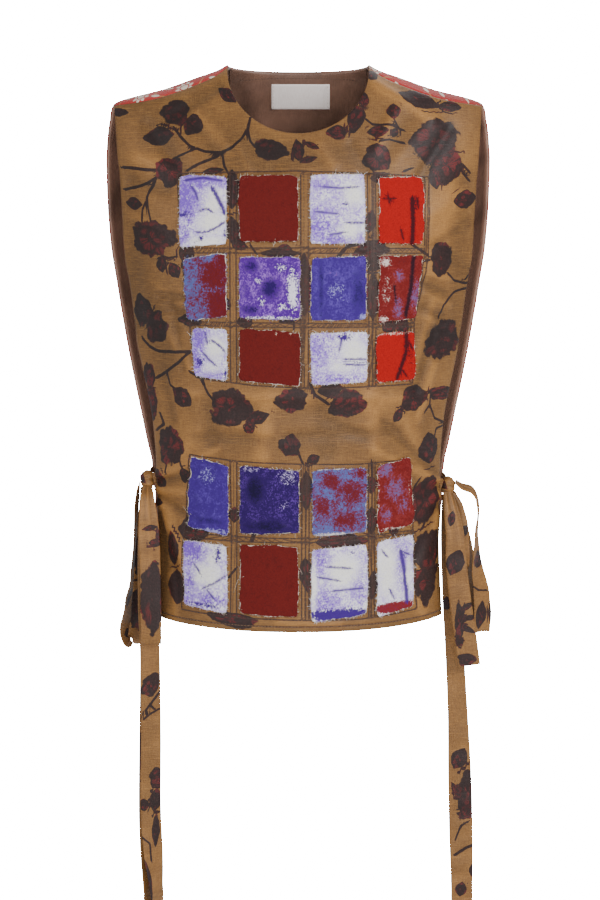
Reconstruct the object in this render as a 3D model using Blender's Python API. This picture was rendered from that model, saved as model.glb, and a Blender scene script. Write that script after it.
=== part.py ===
# A side-tied tabard waistcoat, held open as if worn. The front is one piece of bagged-out silk with two grids of
# raw-edged patches sewn on it, and the back is one piece of lined brocade that comes over the shoulders to seams a
# little in front of the ridge. Ties sewn to the side edges meet at the waist in a bow on each side.
#
# Sizes are in millimetres until an object is made. X runs to the wearer's left, Y to the back and Z up. The origin
# lies midway between the neck points, on the shoulder ridge, so a level on the garment is given as its drop below.

import math
from collections import namedtuple

import bpy
from mathutils import Vector

for old_object in list(bpy.data.objects):
    bpy.data.objects.remove(old_object, do_unlink=True)

MM = 0.001

# Driving sizes
NECK_HALF_WIDTH = 71.0
SHOULDER_TIP_HALF_WIDTH = 184.0
FRONT_NECK_DROP = 72.0
BACK_NECK_DROP = 4.5
HEM_DROP = 555.5
SEAM_BELOW_RIDGE = 10.0
SEAM_END_BELOW_RIDGE = 4.0
BACK_FLARE = 7.5
BACK_TURN_BELOW_RIDGE = 10.0
FRONT_WALL = 1.8
BACK_WALL = 1.0
LINING_WALL = 1.0
PATCH_WALL = 1.0
LABEL_WALL = 0.8
TIE_WALL = 1.2
SEAM_GAP = 0.4
LAYER_GAP = 0.3
PATCH_LIFT = 0.65
SIDE_POWER = 2.2

# The form that holds the garment open, one row for each level: its half width, how far it stands to the front and
# to the back, and how round its sides are.
FORM_COLUMNS = ("drop", "half_width", "front_depth", "back_depth", "roundness")
FORM = (
    (0, 71, 20, 40, 2.2),
    (6, 82, 25, 41, 2.2),
    (13, 102, 31, 43, 2.2),
    (24, 133, 38, 47, 2.2),
    (39, 185, 47, 54, 2.2),
    (46, 192, 51, 58, 2.15),
    (72, 197, 66, 69, 2.0),
    (100, 198.5, 79, 80, 1.8),
    (150, 197, 97, 92, 1.6),
    (200, 191, 106, 95, 1.5),
    (250, 183, 110, 92, 1.5),
    (300, 174.5, 109, 86, 1.5),
    (350, 165, 105, 80, 1.5),
    (404, 154, 100, 76, 1.5),
    (480, 151, 98, 78, 1.5),
    (560, 152, 104, 92, 1.5),
)

# How far each panel's side edge stands from the middle, as seen from the front.
EDGE_COLUMNS = ("drop", "half_width")
FRONT_EDGE = (
    (40, 184),
    (47, 183.1),
    (103, 178.6),
    (142, 176),
    (197, 173),
    (219, 169),
    (267, 163),
    (303, 155),
    (357, 145),
    (399, 142.5),
    (438, 141.0),
    (462, 141.1),
    (500, 142.8),
    (552, 145.5),
)
BACK_EDGE = (
    (39, 184),
    (46, 189),
    (56, 192),
    (76, 194.5),
    (97, 195.6),
    (137, 194.6),
    (178, 191.5),
    (219, 185.4),
    (260, 178.7),
    (301, 171.4),
    (342, 163.2),
    (383, 154.7),
    (404, 150.1),
    (470, 146),
    (552, 140),
)

# The largest folds, each a soft ridge, or a trough where its rise is below nothing, from one place to another.
Fold = namedtuple("Fold", ("x_from", "drop_from", "x_to", "drop_to", "spread", "rise"))
FRONT_FOLDS = [Fold(*row) for row in (
    (-136, 410, -100, 365, 9, 2.2),
    (-137, 430, -118, 480, 9, 2.0),
    (136, 415, 105, 352, 9, 2.4),
    (138, 432, 120, 500, 10, 2.6),
    (-170, 110, -160, 260, 12, -2.5),
    (165, 120, 156, 270, 12, -2.5),
    (-126, 60, -96, 98, 11, 2.0),
    (128, 62, 100, 96, 11, 2.0),
    (-62, 338, 62, 345, 12, -1.6),
)]
BACK_FOLDS = [Fold(*row) for row in (
    (-120, 70, -95, 150, 12, 2.5),
    (118, 75, 98, 160, 12, 2.5),
    (-130, 400, -80, 340, 12, 3.0),
    (130, 405, 85, 335, 12, 3.0),
    (-40, 200, -30, 420, 16, 2.5),
    (45, 230, 38, 450, 16, -2.5),
    (-90, 440, -80, 540, 14, 3.0),
    (92, 430, 84, 540, 14, 3.0),
)]

# Columns and rows of each panel's mesh.
SHOULDER_COLUMNS = 8
NECK_COLUMNS = 14
NECK_CROWDING = 1.25
PANEL_ROWS = 27

# Each patch: its place in the grid, its left and right sides at the top and at the foot, and its top and foot.
Patch = namedtuple("Patch", ("row", "column", "left_top", "right_top", "left_foot", "right_foot", "top_drop",
                             "foot_drop", "colour"))
UPPER_PATCHES = [Patch(*row) for row in (
    (1, 1, -115, -69, -114, -69, 114, 181, "white_violet"),
    (1, 2, -57, 0, -56, 0, 114, 177, "dark_red"),
    (1, 3, 12, 64, 12, 64, 113, 179, "white_violet"),
    (1, 4, 78, 122, 78, 121, 115, 179, "bright_red"),
    (2, 1, -111, -69, -109, -69, 191, 251, "blue_red"),
    (2, 2, -56, 2, -56, 2, 192, 251, "violet"),
    (2, 3, 13, 65, 12, 65, 192, 252, "blue_violet"),
    (2, 4, 78, 121, 77, 113, 191, 253, "dark_red"),
    (3, 1, -102, -68, -100, -68, 261, 309, "white_violet"),
    (3, 2, -56, 2, -56, 2, 262, 313, "dark_red"),
    (3, 3, 12, 66, 13, 66, 264, 313, "white_violet"),
    (3, 4, 75, 112, 76, 113, 265, 312, "bright_red"),
)]
LOWER_PATCHES = [Patch(*row) for row in (
    (1, 1, -104, -67, -109, -68, 391, 461, "blue_violet"),
    (1, 2, -56, 1, -56, 1, 396, 460, "violet"),
    (1, 3, 14, 66, 14, 66, 397, 461, "blue_red"),
    (1, 4, 77, 110, 77, 113, 392, 459, "dark_red"),
    (2, 1, -111, -69, -112, -69, 473, 538, "white_violet"),
    (2, 2, -56, 0, -56, 0, 472, 540, "dark_red"),
    (2, 3, 13, 67, 13, 67, 474, 543, "white_violet"),
    (2, 4, 77, 113, 77, 113, 469, 541, "white_violet"),
)]
PATCH_STEPS_ACROSS = 4
PATCH_STEPS_DOWN = 3

LABEL = Patch(0, 0, -27.5, 32.5, -27.5, 32.5, 16, 40, "cream")
LABEL_STEPS_ACROSS = 6
LABEL_STEPS_DOWN = 2

# The knots, and the ties' routes. A route's row gives a point on the middle line, the direction of the width as its
# turn from X about Z and its lift above the level, and the width, which is gathered small where a knot holds it.
KNOT_RADII = (7.5, 8.0, 10.0)
KNOT_SEGMENTS = 14
KNOT_RINGS = 9
KNOT_GAP = 0.35
KNOT_FALL_AWAY = 1.0
LEFT_KNOT = Vector((-152, -22, -418))
RIGHT_KNOT = Vector((151, -22, -424))
STUB_WIDTH_AT_PANEL = 15.0
STUB_WIDTH_MIDWAY = 12.0
STUB_WIDTH_AT_KNOT = 10.0
STUB_SEAM_GAP = 0.85
STUB_STRAIGHT = 1.5
TIE_POINTS_PER_ROW = 2

TiePoint = namedtuple("TiePoint", ("x", "y", "z", "turn", "lift", "width"))
LEFT_TIES = {
    "left_loop_front": (
        (-151, -31, -424, 10, 0, 9),
        (-150.5, -42, -436, 8, 0, 14),
        (-149, -46, -465, 5, 0, 20),
        (-147.5, -47, -510, 3, 0, 20),
        (-147, -49, -550, 0, 0, 20.5),
        (-147, -48, -572, 0, 0, 20),
        (-147.5, -43, -580.5, 0, 0, 20),
        (-148, -38.5, -571, 0, 0, 20),
        (-148, -39, -540, 0, 0, 20),
        (-148.5, -40.5, -490, 2, 0, 19),
        (-150, -38, -455, 5, 0, 15),
        (-150.5, -32.5, -437, 8, 0, 10),
        (-151, -27.5, -430, 10, 0, 9),
    ),
    "left_loop_outer": (
        (-160, -22, -421, 90, 0, 9),
        (-163, -18, -440, 80, 0, 14),
        (-164.5, -16, -470, 85, 0, 20),
        (-167.5, -15, -515, 80, 0, 21),
        (-173, -15, -553, 68, 0, 21),
        (-175.5, -14, -572, 60, 0, 21),
        (-172, -13, -584, 60, 0, 21),
        (-166.5, -12, -583, 40, 0, 21),
        (-163, -12, -570, 40, 0, 21),
        (-159.3, -13, -530, 40, 0, 21),
        (-156.5, -13, -480, 45, 0, 20),
        (-156, -14.5, -446, 45, 0, 14),
        (-157, -15, -429, 42, 0, 9),
    ),
    "left_tail_front": (
        (-152, -24.5, -430, 5, 0, 9),
        (-152.5, -29, -450, 5, 0, 14),
        (-152, -33, -490, 3, 0, 18),
        (-151.5, -33.5, -545, 2, 0, 19),
        (-149.5, -33, -600, 0, 0, 19.5),
        (-149, -32, -680, -4, 0, 20),
        (-149.5, -32, -750, 3, 0, 20),
        (-147, -32, -800, 25, 0, 20),
        (-144, -31, -835, 55, 0, 20),
        (-142.5, -31, -885, 64, 0, 20),
    ),
    "left_tail_back": (
        (-152, -20.5, -430, 5, 0, 9),
        (-152.5, -25, -450, 5, 0, 14),
        (-152, -29, -490, 3, 0, 18),
        (-151.5, -29.5, -545, 2, 0, 19),
        (-150, -28.5, -600, 0, 0, 19.5),
        (-151, -27, -680, 2, 0, 20),
        (-152, -27, -750, 0, 0, 20),
        (-151, -26.5, -800, 22, 0, 20),
        (-151, -26, -835, 52, 0, 20),
        (-151, -26, -878, 62, 0, 20),
    ),
}
RIGHT_TIES = {
    "right_loop_outer": (
        (158, -22, -420, 90, 20, 9),
        (166, -23, -424, 90, 25, 12),
        (176.5, -24, -429, 85, 20, 16),
        (181.5, -24, -443, 82, 5, 19),
        (180.5, -23, -475, 76, 0, 20),
        (180.5, -22, -500, 62, 0, 21),
        (184.5, -21.5, -525, 42, 0, 21),
        (187, -21, -550, 32, 0, 21),
        (187, -19, -567, 32, 0, 21),
        (186, -15.5, -575, 35, 0, 21),
        (183.5, -12, -568, 38, 0, 21),
        (180.5, -10, -540, 45, 0, 21),
        (176, -10, -505, 60, 0, 20),
        (171.5, -10.5, -475, 70, 0, 18),
        (165, -12, -450, 75, 0, 14),
        (157.5, -17, -431, 115, 0, 9),
    ),
    "right_loop_inner": (
        (153.5, -26.5, -432, 5, 0, 9),
        (158.5, -29, -443, 8, 0, 14),
        (162.5, -31, -463, 8, 0, 17),
        (163.5, -31, -490, 5, 0, 18),
        (163.5, -29, -503, 3, 0, 18),
        (163.5, -25, -506, 3, 0, 18),
        (163.5, -22, -500, 3, 0, 18),
        (162.5, -21, -482, 3, 0, 18),
        (159, -21, -460, 5, 0, 15),
        (155, -21.5, -442, 5, 0, 11),
        (154, -22, -434, 5, 0, 9),
    ),
    "right_tail_short": (
        (150.5, -31, -430, 0, 0, 9),
        (153, -37, -445, 0, 0, 14),
        (157, -40, -470, 0, 0, 18),
        (158.5, -40, -500, 0, 0, 20.5),
        (163, -39.5, -540, 0, 0, 21.5),
        (169, -38.5, -579, 0, 0, 21.5),
        (172.5, -38, -604, 0, 0, 21.5),
    ),
    "right_tail_long": (
        (150.5, -18, -433, 0, 0, 9),
        (152, -16, -450, 0, 0, 13),
        (153.5, -15, -480, 0, 0, 17),
        (156, -16, -540, 0, 0, 18),
        (159.5, -18, -600, -5, 0, 18.5),
        (162.5, -21, -660, -8, 0, 20),
        (164.5, -23, -720, -3, 0, 23),
        (166, -24, -780, 0, 0, 23.5),
        (167, -25, -830, 5, 0, 22),
        (167.5, -25, -885, 12, 0, 22),
    ),
}


def column(table, columns, name):
    """One named column of a table."""
    place = columns.index(name)
    return [row[place] for row in table]


def smooth_curve(keys, values):
    """A smooth function through a table's values that never swings past them."""
    last = len(keys) - 1
    spans = [keys[i + 1] - keys[i] for i in range(last)]
    rises = [(values[i + 1] - values[i]) / spans[i] for i in range(last)]
    slopes = [rises[0]]
    for i in range(1, last):
        if rises[i - 1] * rises[i] <= 0:
            slopes.append(0.0)
            continue
        before = 2 * spans[i] + spans[i - 1]
        after = spans[i] + 2 * spans[i - 1]
        slopes.append((before + after) / (before / rises[i - 1] + after / rises[i]))
    slopes.append(rises[-1])

    def value_at(key):
        key = min(max(key, keys[0]), keys[-1])
        i = 0
        while i < last - 1 and key > keys[i + 1]:
            i += 1
        span = spans[i]
        t = (key - keys[i]) / span
        start = (1 + 2 * t) * (1 - t) ** 2 * values[i] + t * (1 - t) ** 2 * span * slopes[i]
        end = t * t * (3 - 2 * t) * values[i + 1] + t * t * (t - 1) * span * slopes[i + 1]
        return start + end

    return value_at


form_half_width, form_front_depth, form_back_depth, form_roundness = (
    smooth_curve(column(FORM, FORM_COLUMNS, "drop"), column(FORM, FORM_COLUMNS, name))
    for name in FORM_COLUMNS[1:]
)
front_edge, back_edge = (
    smooth_curve(column(edge, EDGE_COLUMNS, "drop"), column(edge, EDGE_COLUMNS, "half_width"))
    for edge in (FRONT_EDGE, BACK_EDGE)
)
FRONT = -1
BACK = 1


def form_depth(x, z, side):
    """Y of the form's surface at a place seen from the front or the back."""
    reach = form_front_depth(-z) if side == FRONT else form_back_depth(-z)
    across = min(abs(x) / form_half_width(-z), 1.0)
    return side * reach * (1 - across ** SIDE_POWER) ** (1 / form_roundness(-z))


def form_level(x, y, z):
    """1 on the form's surface, less inside it and more outside it."""
    reach = form_front_depth(-z) if y < 0 else form_back_depth(-z)
    return (abs(x) / form_half_width(-z)) ** SIDE_POWER + (abs(y) / reach) ** form_roundness(-z)


def form_normal(point):
    """Direction straight out of the form at a point of its surface."""
    step = 0.5
    x, y, z = point
    z = min(z, -step)
    out = Vector((
        form_level(x + step, y, z) - form_level(x - step, y, z),
        form_level(x, y + step, z) - form_level(x, y - step, z),
        form_level(x, y, z + step) - form_level(x, y, z - step),
    ))
    return out.normalized()


def halve(function, low, high):
    """The place between low and high where a rising function passes nothing."""
    for _ in range(40):
        middle = (low + high) / 2
        if function(middle) < 0:
            low = middle
        else:
            high = middle
    return (low + high) / 2


def ridge_drop(x):
    """How far the shoulder ridge has fallen at a place across."""
    return halve(lambda drop: form_half_width(drop) - abs(x), 0.0, 60.0)


def drop_at_depth(x, y):
    """How far below the neck points the form's surface lies at a place close to the shoulder ridge."""
    side = FRONT if y < 0 else BACK
    top = ridge_drop(x)
    return halve(lambda drop: abs(form_depth(x, -drop, side)) - abs(y), top, top + 120.0)


def fold_rise(x, z, folds):
    """Height of the folds at a place of a panel."""
    rise = 0.0
    for fold in folds:
        along = Vector((fold.x_to - fold.x_from, fold.drop_from - fold.drop_to))
        place = Vector((x - fold.x_from, z + fold.drop_from))
        t = min(max(place.dot(along) / along.length_squared, 0.0), 1.0)
        rise += fold.rise * math.exp(-((place - along * t).length / fold.spread) ** 2)
    return rise


def on_panel(x, z, side, lift=0.0):
    """A point of a panel's outer face, or one moved straight out of it by a lift."""
    point = Vector((x, form_depth(x, z, side), z))
    folds = FRONT_FOLDS if side == FRONT else BACK_FOLDS
    return point + form_normal(point) * (fold_rise(x, z, folds) + lift)


def seam_point(fraction, hand, shift=0.0):
    """Place across and drop of the shoulder seam, from the neck at 0 to the shoulder tip at 1."""
    x = NECK_HALF_WIDTH + (SHOULDER_TIP_HALF_WIDTH - NECK_HALF_WIDTH) * fraction
    bow = 1 - abs(2 * fraction - 1) ** 3
    below = SEAM_END_BELOW_RIDGE + (SEAM_BELOW_RIDGE - SEAM_END_BELOW_RIDGE) * bow
    return hand * x, ridge_drop(x) + below - shift


def column_places():
    """Where a panel's columns start: on which shoulder, how far along, or at which angle round the neck."""
    places = []
    for i in range(SHOULDER_COLUMNS + 1):
        places.append(("seam", 1 - i / SHOULDER_COLUMNS, -1))
    for i in range(1, NECK_COLUMNS):
        share = 2 * i / NECK_COLUMNS - 1
        places.append(("neck", math.pi / 2 * (NECK_CROWDING * share - (NECK_CROWDING - 1) * share ** 3), 0))
    for i in range(SHOULDER_COLUMNS + 1):
        places.append(("seam", i / SHOULDER_COLUMNS, 1))
    return places


def spread_evenly(points, count):
    """Points at equal distances along a chain of points."""
    lengths = [0.0]
    for before, after in zip(points, points[1:]):
        lengths.append(lengths[-1] + (after - before).length)
    chosen = []
    i = 0
    for k in range(count + 1):
        target = lengths[-1] * k / count
        while i < len(points) - 2 and lengths[i + 1] < target:
            i += 1
        t = (target - lengths[i]) / max(lengths[i + 1] - lengths[i], 1e-9)
        chosen.append(points[i].lerp(points[i + 1], min(max(t, 0.0), 1.0)))
    return chosen


def column_down(x_top, drop_top, hem_share, edge, side):
    """A chain of points of the form from one place down to the hem, its share of the width eased to the hem's."""
    steps = 120
    top_share = x_top / edge(drop_top)
    chain = []
    for k in range(steps + 1):
        t = k / steps
        drop = drop_top + (HEM_DROP - drop_top) * t
        ease = t * t * (3 - 2 * t)
        x = edge(drop) * (top_share + (hem_share - top_share) * ease)
        chain.append(Vector((x, form_depth(x, -drop, side), -drop)))
    return chain


def front_grid():
    """The front panel's points on the form, column by column."""
    grid = []
    places = column_places()
    for i, (start, value, hand) in enumerate(places):
        if start == "seam":
            x, drop = seam_point(value, hand)
        else:
            x = NECK_HALF_WIDTH * math.sin(value)
            drop = SEAM_END_BELOW_RIDGE + (FRONT_NECK_DROP - SEAM_END_BELOW_RIDGE) * math.cos(value)
        hem_share = 2 * i / (len(places) - 1) - 1
        grid.append(spread_evenly(column_down(x, drop, hem_share, front_edge, FRONT), PANEL_ROWS))
    return grid


def back_grid():
    """The back panel's points on the form: up from the seam, over the ridge and down, column by column. Its side edges
    flare a little once they are over the ridge."""
    grid = []
    places = column_places()
    ridge_steps = 24
    for i, (start, value, hand) in enumerate(places):
        hem_share = 2 * i / (len(places) - 1) - 1
        chain = []
        if start == "seam":
            x, drop = seam_point(value, hand, SEAM_GAP)
            seam_y = form_depth(x, -drop, FRONT)
            turn_x = x + hand * BACK_FLARE * value ** 6
            turn_drop = ridge_drop(turn_x) + BACK_TURN_BELOW_RIDGE
            turn_y = min(0.45 * form_back_depth(turn_drop), form_depth(turn_x, -turn_drop, BACK))
            for k in range(ridge_steps):
                t = k / ridge_steps
                y = seam_y + (turn_y - seam_y) * t
                across = x + (turn_x - x) * t * t
                chain.append(Vector((across, y, -drop_at_depth(across, y))))
            x = turn_x
            drop = drop_at_depth(x, turn_y)
        else:
            x = NECK_HALF_WIDTH * math.sin(value)
            drop = BACK_NECK_DROP * math.cos(value)
        chain += column_down(x, drop, hem_share, back_edge, BACK)
        grid.append(spread_evenly(chain, PANEL_ROWS))
    return grid


def moved_out(grid, folds, lift):
    """A grid of points of the form, moved straight out of it by its folds and by a lift."""
    return [
        [point + form_normal(point) * (fold_rise(point.x, point.z, folds) + lift) for point in line]
        for line in grid
    ]


def cloth_material(name, colour, roughness, sheen=0.0):
    """A plain cloth."""
    material = bpy.data.materials.new(name)
    material.use_nodes = True
    shader = material.node_tree.nodes["Principled BSDF"]
    shader.inputs["Base Color"].default_value = (*colour, 1.0)
    shader.inputs["Roughness"].default_value = roughness
    shader.inputs["Metallic"].default_value = 0.0
    shader.inputs["Sheen Weight"].default_value = sheen
    material.diffuse_color = (*colour, 1.0)
    return material


shoulders = bpy.data.objects.new("shoulders", None)
bpy.context.scene.collection.objects.link(shoulders)


def closed_volume(points, faces):
    """Volume inside a closed mesh, below nothing where its faces point in."""
    total = 0.0
    for face in faces:
        first = points[face[0]]
        for b, c in zip(face[1:], face[2:]):
            total += first.dot(points[b].cross(points[c])) / 6
    return total


def add_piece(name, points, faces, material):
    """One closed piece, with its origin in its middle, on the shoulders."""
    if closed_volume(points, faces) < 0:
        faces = [tuple(reversed(face)) for face in faces]
    low = Vector([min(point[axis] for point in points) for axis in range(3)])
    high = Vector([max(point[axis] for point in points) for axis in range(3)])
    middle = (low + high) / 2
    mesh = bpy.data.meshes.new(name)
    mesh.from_pydata([(point - middle) * MM for point in points], [], faces)
    mesh.shade_smooth()
    mesh.set_sharp_from_angle(angle=math.radians(40))
    mesh.materials.append(material)
    piece = bpy.data.objects.new(name, mesh)
    piece.location = middle * MM
    piece.parent = shoulders
    bpy.context.scene.collection.objects.link(piece)
    return piece


def wall_between(outer, inner):
    """Points and faces of the closed wall between two grids of the same size, cut alike on its left and right."""
    across = len(outer)
    down = len(outer[0])
    points = [point for line in outer for point in line] + [point for line in inner for point in line]
    other = across * down
    faces = []
    for i in range(across - 1):
        for j in range(down - 1):
            a = i * down + j
            b = a + down
            if i < (across - 1) / 2:
                halves = ((a, b, b + 1), (a, b + 1, a + 1))
            else:
                halves = ((a, b, a + 1), (b, b + 1, a + 1))
            for corners in halves:
                faces.append(corners)
                faces.append(tuple(other + corner for corner in reversed(corners)))
    rim = [i * down for i in range(across)]
    rim += [(across - 1) * down + j for j in range(1, down)]
    rim += [i * down + down - 1 for i in range(across - 2, -1, -1)]
    rim += [j for j in range(down - 2, 0, -1)]
    for a, b in zip(rim, rim[1:] + rim[:1]):
        faces.append((b, a, other + a, other + b))
    return points, faces


def lap_grid(patch, across, down, side, lift):
    """Points over a patch's place on a panel, moved out."""
    grid = []
    for i in range(across + 1):
        top_x = patch.left_top + (patch.right_top - patch.left_top) * i / across
        foot_x = patch.left_foot + (patch.right_foot - patch.left_foot) * i / across
        line = []
        for j in range(down + 1):
            t = j / down
            drop = patch.top_drop + (patch.foot_drop - patch.top_drop) * t
            line.append(on_panel(top_x + (foot_x - top_x) * t, -drop, side, lift))
        grid.append(line)
    return grid


def smooth_route(rows):
    """A tie's rows with more put between them on a smooth curve."""
    route = []
    for i in range(len(rows) - 1):
        before = rows[max(i - 1, 0)]
        start = rows[i]
        end = rows[i + 1]
        after = rows[min(i + 2, len(rows) - 1)]
        for k in range(TIE_POINTS_PER_ROW):
            t = k / TIE_POINTS_PER_ROW
            route.append([
                0.5 * (2 * b + (c - a) * t + (2 * a - 5 * b + 4 * c - d) * t * t + (3 * b - a - 3 * c + d) * t ** 3)
                for a, b, c, d in zip(before, start, end, after)
            ])
    route.append(list(rows[-1]))
    return route


def width_direction(turn, lift):
    """Direction of a tie's width from its turn and lift in degrees."""
    turn = math.radians(turn)
    lift = math.radians(lift)
    return Vector((math.cos(turn) * math.cos(lift), math.sin(turn) * math.cos(lift), math.sin(lift)))


def ribbon_grids(middles, directions, widths):
    """The two faces of a flat tie along a middle line."""
    last = len(middles) - 1
    outer = []
    inner = []
    for i, (middle, direction, width) in enumerate(zip(middles, directions, widths)):
        along = (middles[min(i + 1, last)] - middles[max(i - 1, 0)]).normalized()
        side = (direction - along * direction.dot(along)).normalized()
        out = side.cross(along)
        edges = (middle - side * width / 2, middle + side * width / 2)
        outer.append([edge + out * TIE_WALL / 2 for edge in edges])
        inner.append([edge - out * TIE_WALL / 2 for edge in edges])
    return outer, inner


def seat_on_knot(point, following, direction, width, knot):
    """The point brought towards the knot's middle, until a tie that leaves there lies just off the knot's surface."""
    away = point - knot
    reach = math.sqrt(sum((away[axis] / KNOT_RADII[axis]) ** 2 for axis in range(3)))
    surface = knot + away / reach
    normal = Vector([(surface[axis] - knot[axis]) / KNOT_RADII[axis] ** 2 for axis in range(3)]).normalized()
    along = (following - surface).normalized()
    side = (direction - along * direction.dot(along)).normalized()
    out = side.cross(along)
    clear = KNOT_GAP + abs(out.dot(normal)) * TIE_WALL / 2
    clear += max(0.0, abs(side.dot(normal)) * width / 2 - KNOT_FALL_AWAY)
    return surface + normal * clear


def add_tie(name, rows, knot, ends_on_knot):
    """A loop, whose two ends lie on the knot, or a tail, which has one end there."""
    points = [TiePoint(*row) for row in rows]
    for end, following in (((0, 1), (-1, -2)) if ends_on_knot == 2 else ((0, 1),)):
        point = points[end]
        seat = seat_on_knot(Vector(point[:3]), Vector(points[following][:3]),
                            width_direction(point.turn, point.lift), point.width, knot)
        points[end] = point._replace(x=seat.x, y=seat.y, z=seat.z)
    route = [TiePoint(*row) for row in smooth_route(points)]
    outer, inner = ribbon_grids([Vector(point[:3]) for point in route],
                                [width_direction(point.turn, point.lift) for point in route],
                                [point.width for point in route])
    add_piece(name, *wall_between(outer, inner), tie_silk)


def add_stub(name, hand, edge, side, wall, knot):
    """The short run of a tie from a panel's side edge to the knot, as broad as the tie at the edge's seam."""
    drop = -knot.z - 2
    half = STUB_WIDTH_AT_PANEL / 2
    seam_ends = []
    outward = Vector()
    for level in (drop + half, drop - half):
        rim = on_panel(hand * edge(level), -level, side, -wall / 2)
        away = (rim - on_panel(hand * (edge(level) - 2), -level, side, -wall / 2)).normalized()
        seam_ends.append(rim + away * STUB_SEAM_GAP)
        outward += away / 2
    root = (seam_ends[0] + seam_ends[1]) / 2
    along_seam = (seam_ends[1] - seam_ends[0]).normalized()
    seat = seat_on_knot(root.lerp(knot, 0.5), root, along_seam, STUB_WIDTH_AT_KNOT, knot)
    outer, inner = ribbon_grids([root, root + outward * STUB_STRAIGHT, seat], [along_seam] * 3,
                                [STUB_WIDTH_AT_PANEL, STUB_WIDTH_MIDWAY, STUB_WIDTH_AT_KNOT])
    add_piece(name, *wall_between(outer, inner), tie_silk)


def add_knot(name, middle):
    """A bow's knot: the tie wrapped tight round itself, as one rounded lump drawn in at its waist."""
    points = [middle + Vector((0, 0, KNOT_RADII[2]))]
    for ring in range(1, KNOT_RINGS):
        polar = math.pi * ring / KNOT_RINGS
        for segment in range(KNOT_SEGMENTS):
            turn = 2 * math.pi * segment / KNOT_SEGMENTS
            points.append(middle + Vector((
                KNOT_RADII[0] * math.sin(polar) * math.cos(turn),
                KNOT_RADII[1] * math.sin(polar) * math.sin(turn),
                KNOT_RADII[2] * math.cos(polar),
            )))
    points.append(middle - Vector((0, 0, KNOT_RADII[2])))
    foot = len(points) - 1
    faces = []
    for segment in range(KNOT_SEGMENTS):
        following = (segment + 1) % KNOT_SEGMENTS
        faces.append((0, 1 + segment, 1 + following))
        for ring in range(KNOT_RINGS - 2):
            upper = 1 + ring * KNOT_SEGMENTS
            lower = upper + KNOT_SEGMENTS
            faces.append((upper + segment, lower + segment, lower + following, upper + following))
        last = 1 + (KNOT_RINGS - 2) * KNOT_SEGMENTS
        faces.append((last + segment, foot, last + following))
    add_piece(name, points, faces, tie_silk)


# Front panel: printed silk with its lining, bagged out as one wall.
front_silk = cloth_material("printed_silk", (0.35, 0.17, 0.067), 0.45, 0.2)
front_points = front_grid()
add_piece("front_panel", *wall_between(moved_out(front_points, FRONT_FOLDS, 0.0),
                                       moved_out(front_points, FRONT_FOLDS, -FRONT_WALL)), front_silk)

# Back panel and the lining that backs it all over.
brocade = cloth_material("brocade", (0.48, 0.065, 0.03), 0.6)
lining_cloth = cloth_material("lining", (0.1, 0.055, 0.04), 0.7)
back_points = back_grid()
add_piece("back_panel", *wall_between(moved_out(back_points, BACK_FOLDS, 0.0),
                                      moved_out(back_points, BACK_FOLDS, -BACK_WALL)), brocade)
lining_lift = -BACK_WALL - LAYER_GAP
add_piece("back_lining", *wall_between(moved_out(back_points, BACK_FOLDS, lining_lift),
                                       moved_out(back_points, BACK_FOLDS, lining_lift - LINING_WALL)), lining_cloth)

# Label: woven tape laid on the lining below the back neck.
label_tape = cloth_material("label_tape", (0.66, 0.56, 0.5), 0.8)
label_lift = lining_lift - LINING_WALL - LAYER_GAP
add_piece("neck_label", *wall_between(
    lap_grid(LABEL, LABEL_STEPS_ACROSS, LABEL_STEPS_DOWN, BACK, label_lift),
    lap_grid(LABEL, LABEL_STEPS_ACROSS, LABEL_STEPS_DOWN, BACK, label_lift - LABEL_WALL)), label_tape)

# Patches: raw-edged squares laid on the front in two grids.
patch_cloths = {
    "white_violet": cloth_material("white_violet_patch", (0.62, 0.52, 0.72), 0.8),
    "dark_red": cloth_material("dark_red_patch", (0.17, 0.018, 0.013), 0.8),
    "bright_red": cloth_material("bright_red_patch", (0.5, 0.022, 0.014), 0.75),
    "blue_red": cloth_material("blue_red_patch", (0.13, 0.1, 0.3), 0.8),
    "violet": cloth_material("violet_patch", (0.13, 0.055, 0.4), 0.75),
    "blue_violet": cloth_material("blue_violet_patch", (0.075, 0.05, 0.29), 0.75),
}
for group, patches in (("upper", UPPER_PATCHES), ("lower", LOWER_PATCHES)):
    for patch in patches:
        patch_name = "patch_%s_%d_%d" % (group, patch.row, patch.column)
        add_piece(patch_name, *wall_between(
            lap_grid(patch, PATCH_STEPS_ACROSS, PATCH_STEPS_DOWN, FRONT, PATCH_LIFT + PATCH_WALL),
            lap_grid(patch, PATCH_STEPS_ACROSS, PATCH_STEPS_DOWN, FRONT, PATCH_LIFT)),
            patch_cloths[patch.colour])

# Ties: a bow at each side of the waist.
tie_silk = cloth_material("tie_silk", (0.3, 0.15, 0.06), 0.45, 0.2)
for side_name, hand, knot_middle, ties in (("left", -1, LEFT_KNOT, LEFT_TIES), ("right", 1, RIGHT_KNOT, RIGHT_TIES)):
    add_knot(side_name + "_knot", knot_middle)
    add_stub(side_name + "_stub_front", hand, front_edge, FRONT, FRONT_WALL, knot_middle)
    add_stub(side_name + "_stub_back", hand, back_edge, BACK, BACK_WALL, knot_middle)
    for tie_name, tie_rows in ties.items():
        add_tie(tie_name, tie_rows, knot_middle, 2 if "loop" in tie_name else 1)
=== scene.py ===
import math

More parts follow.
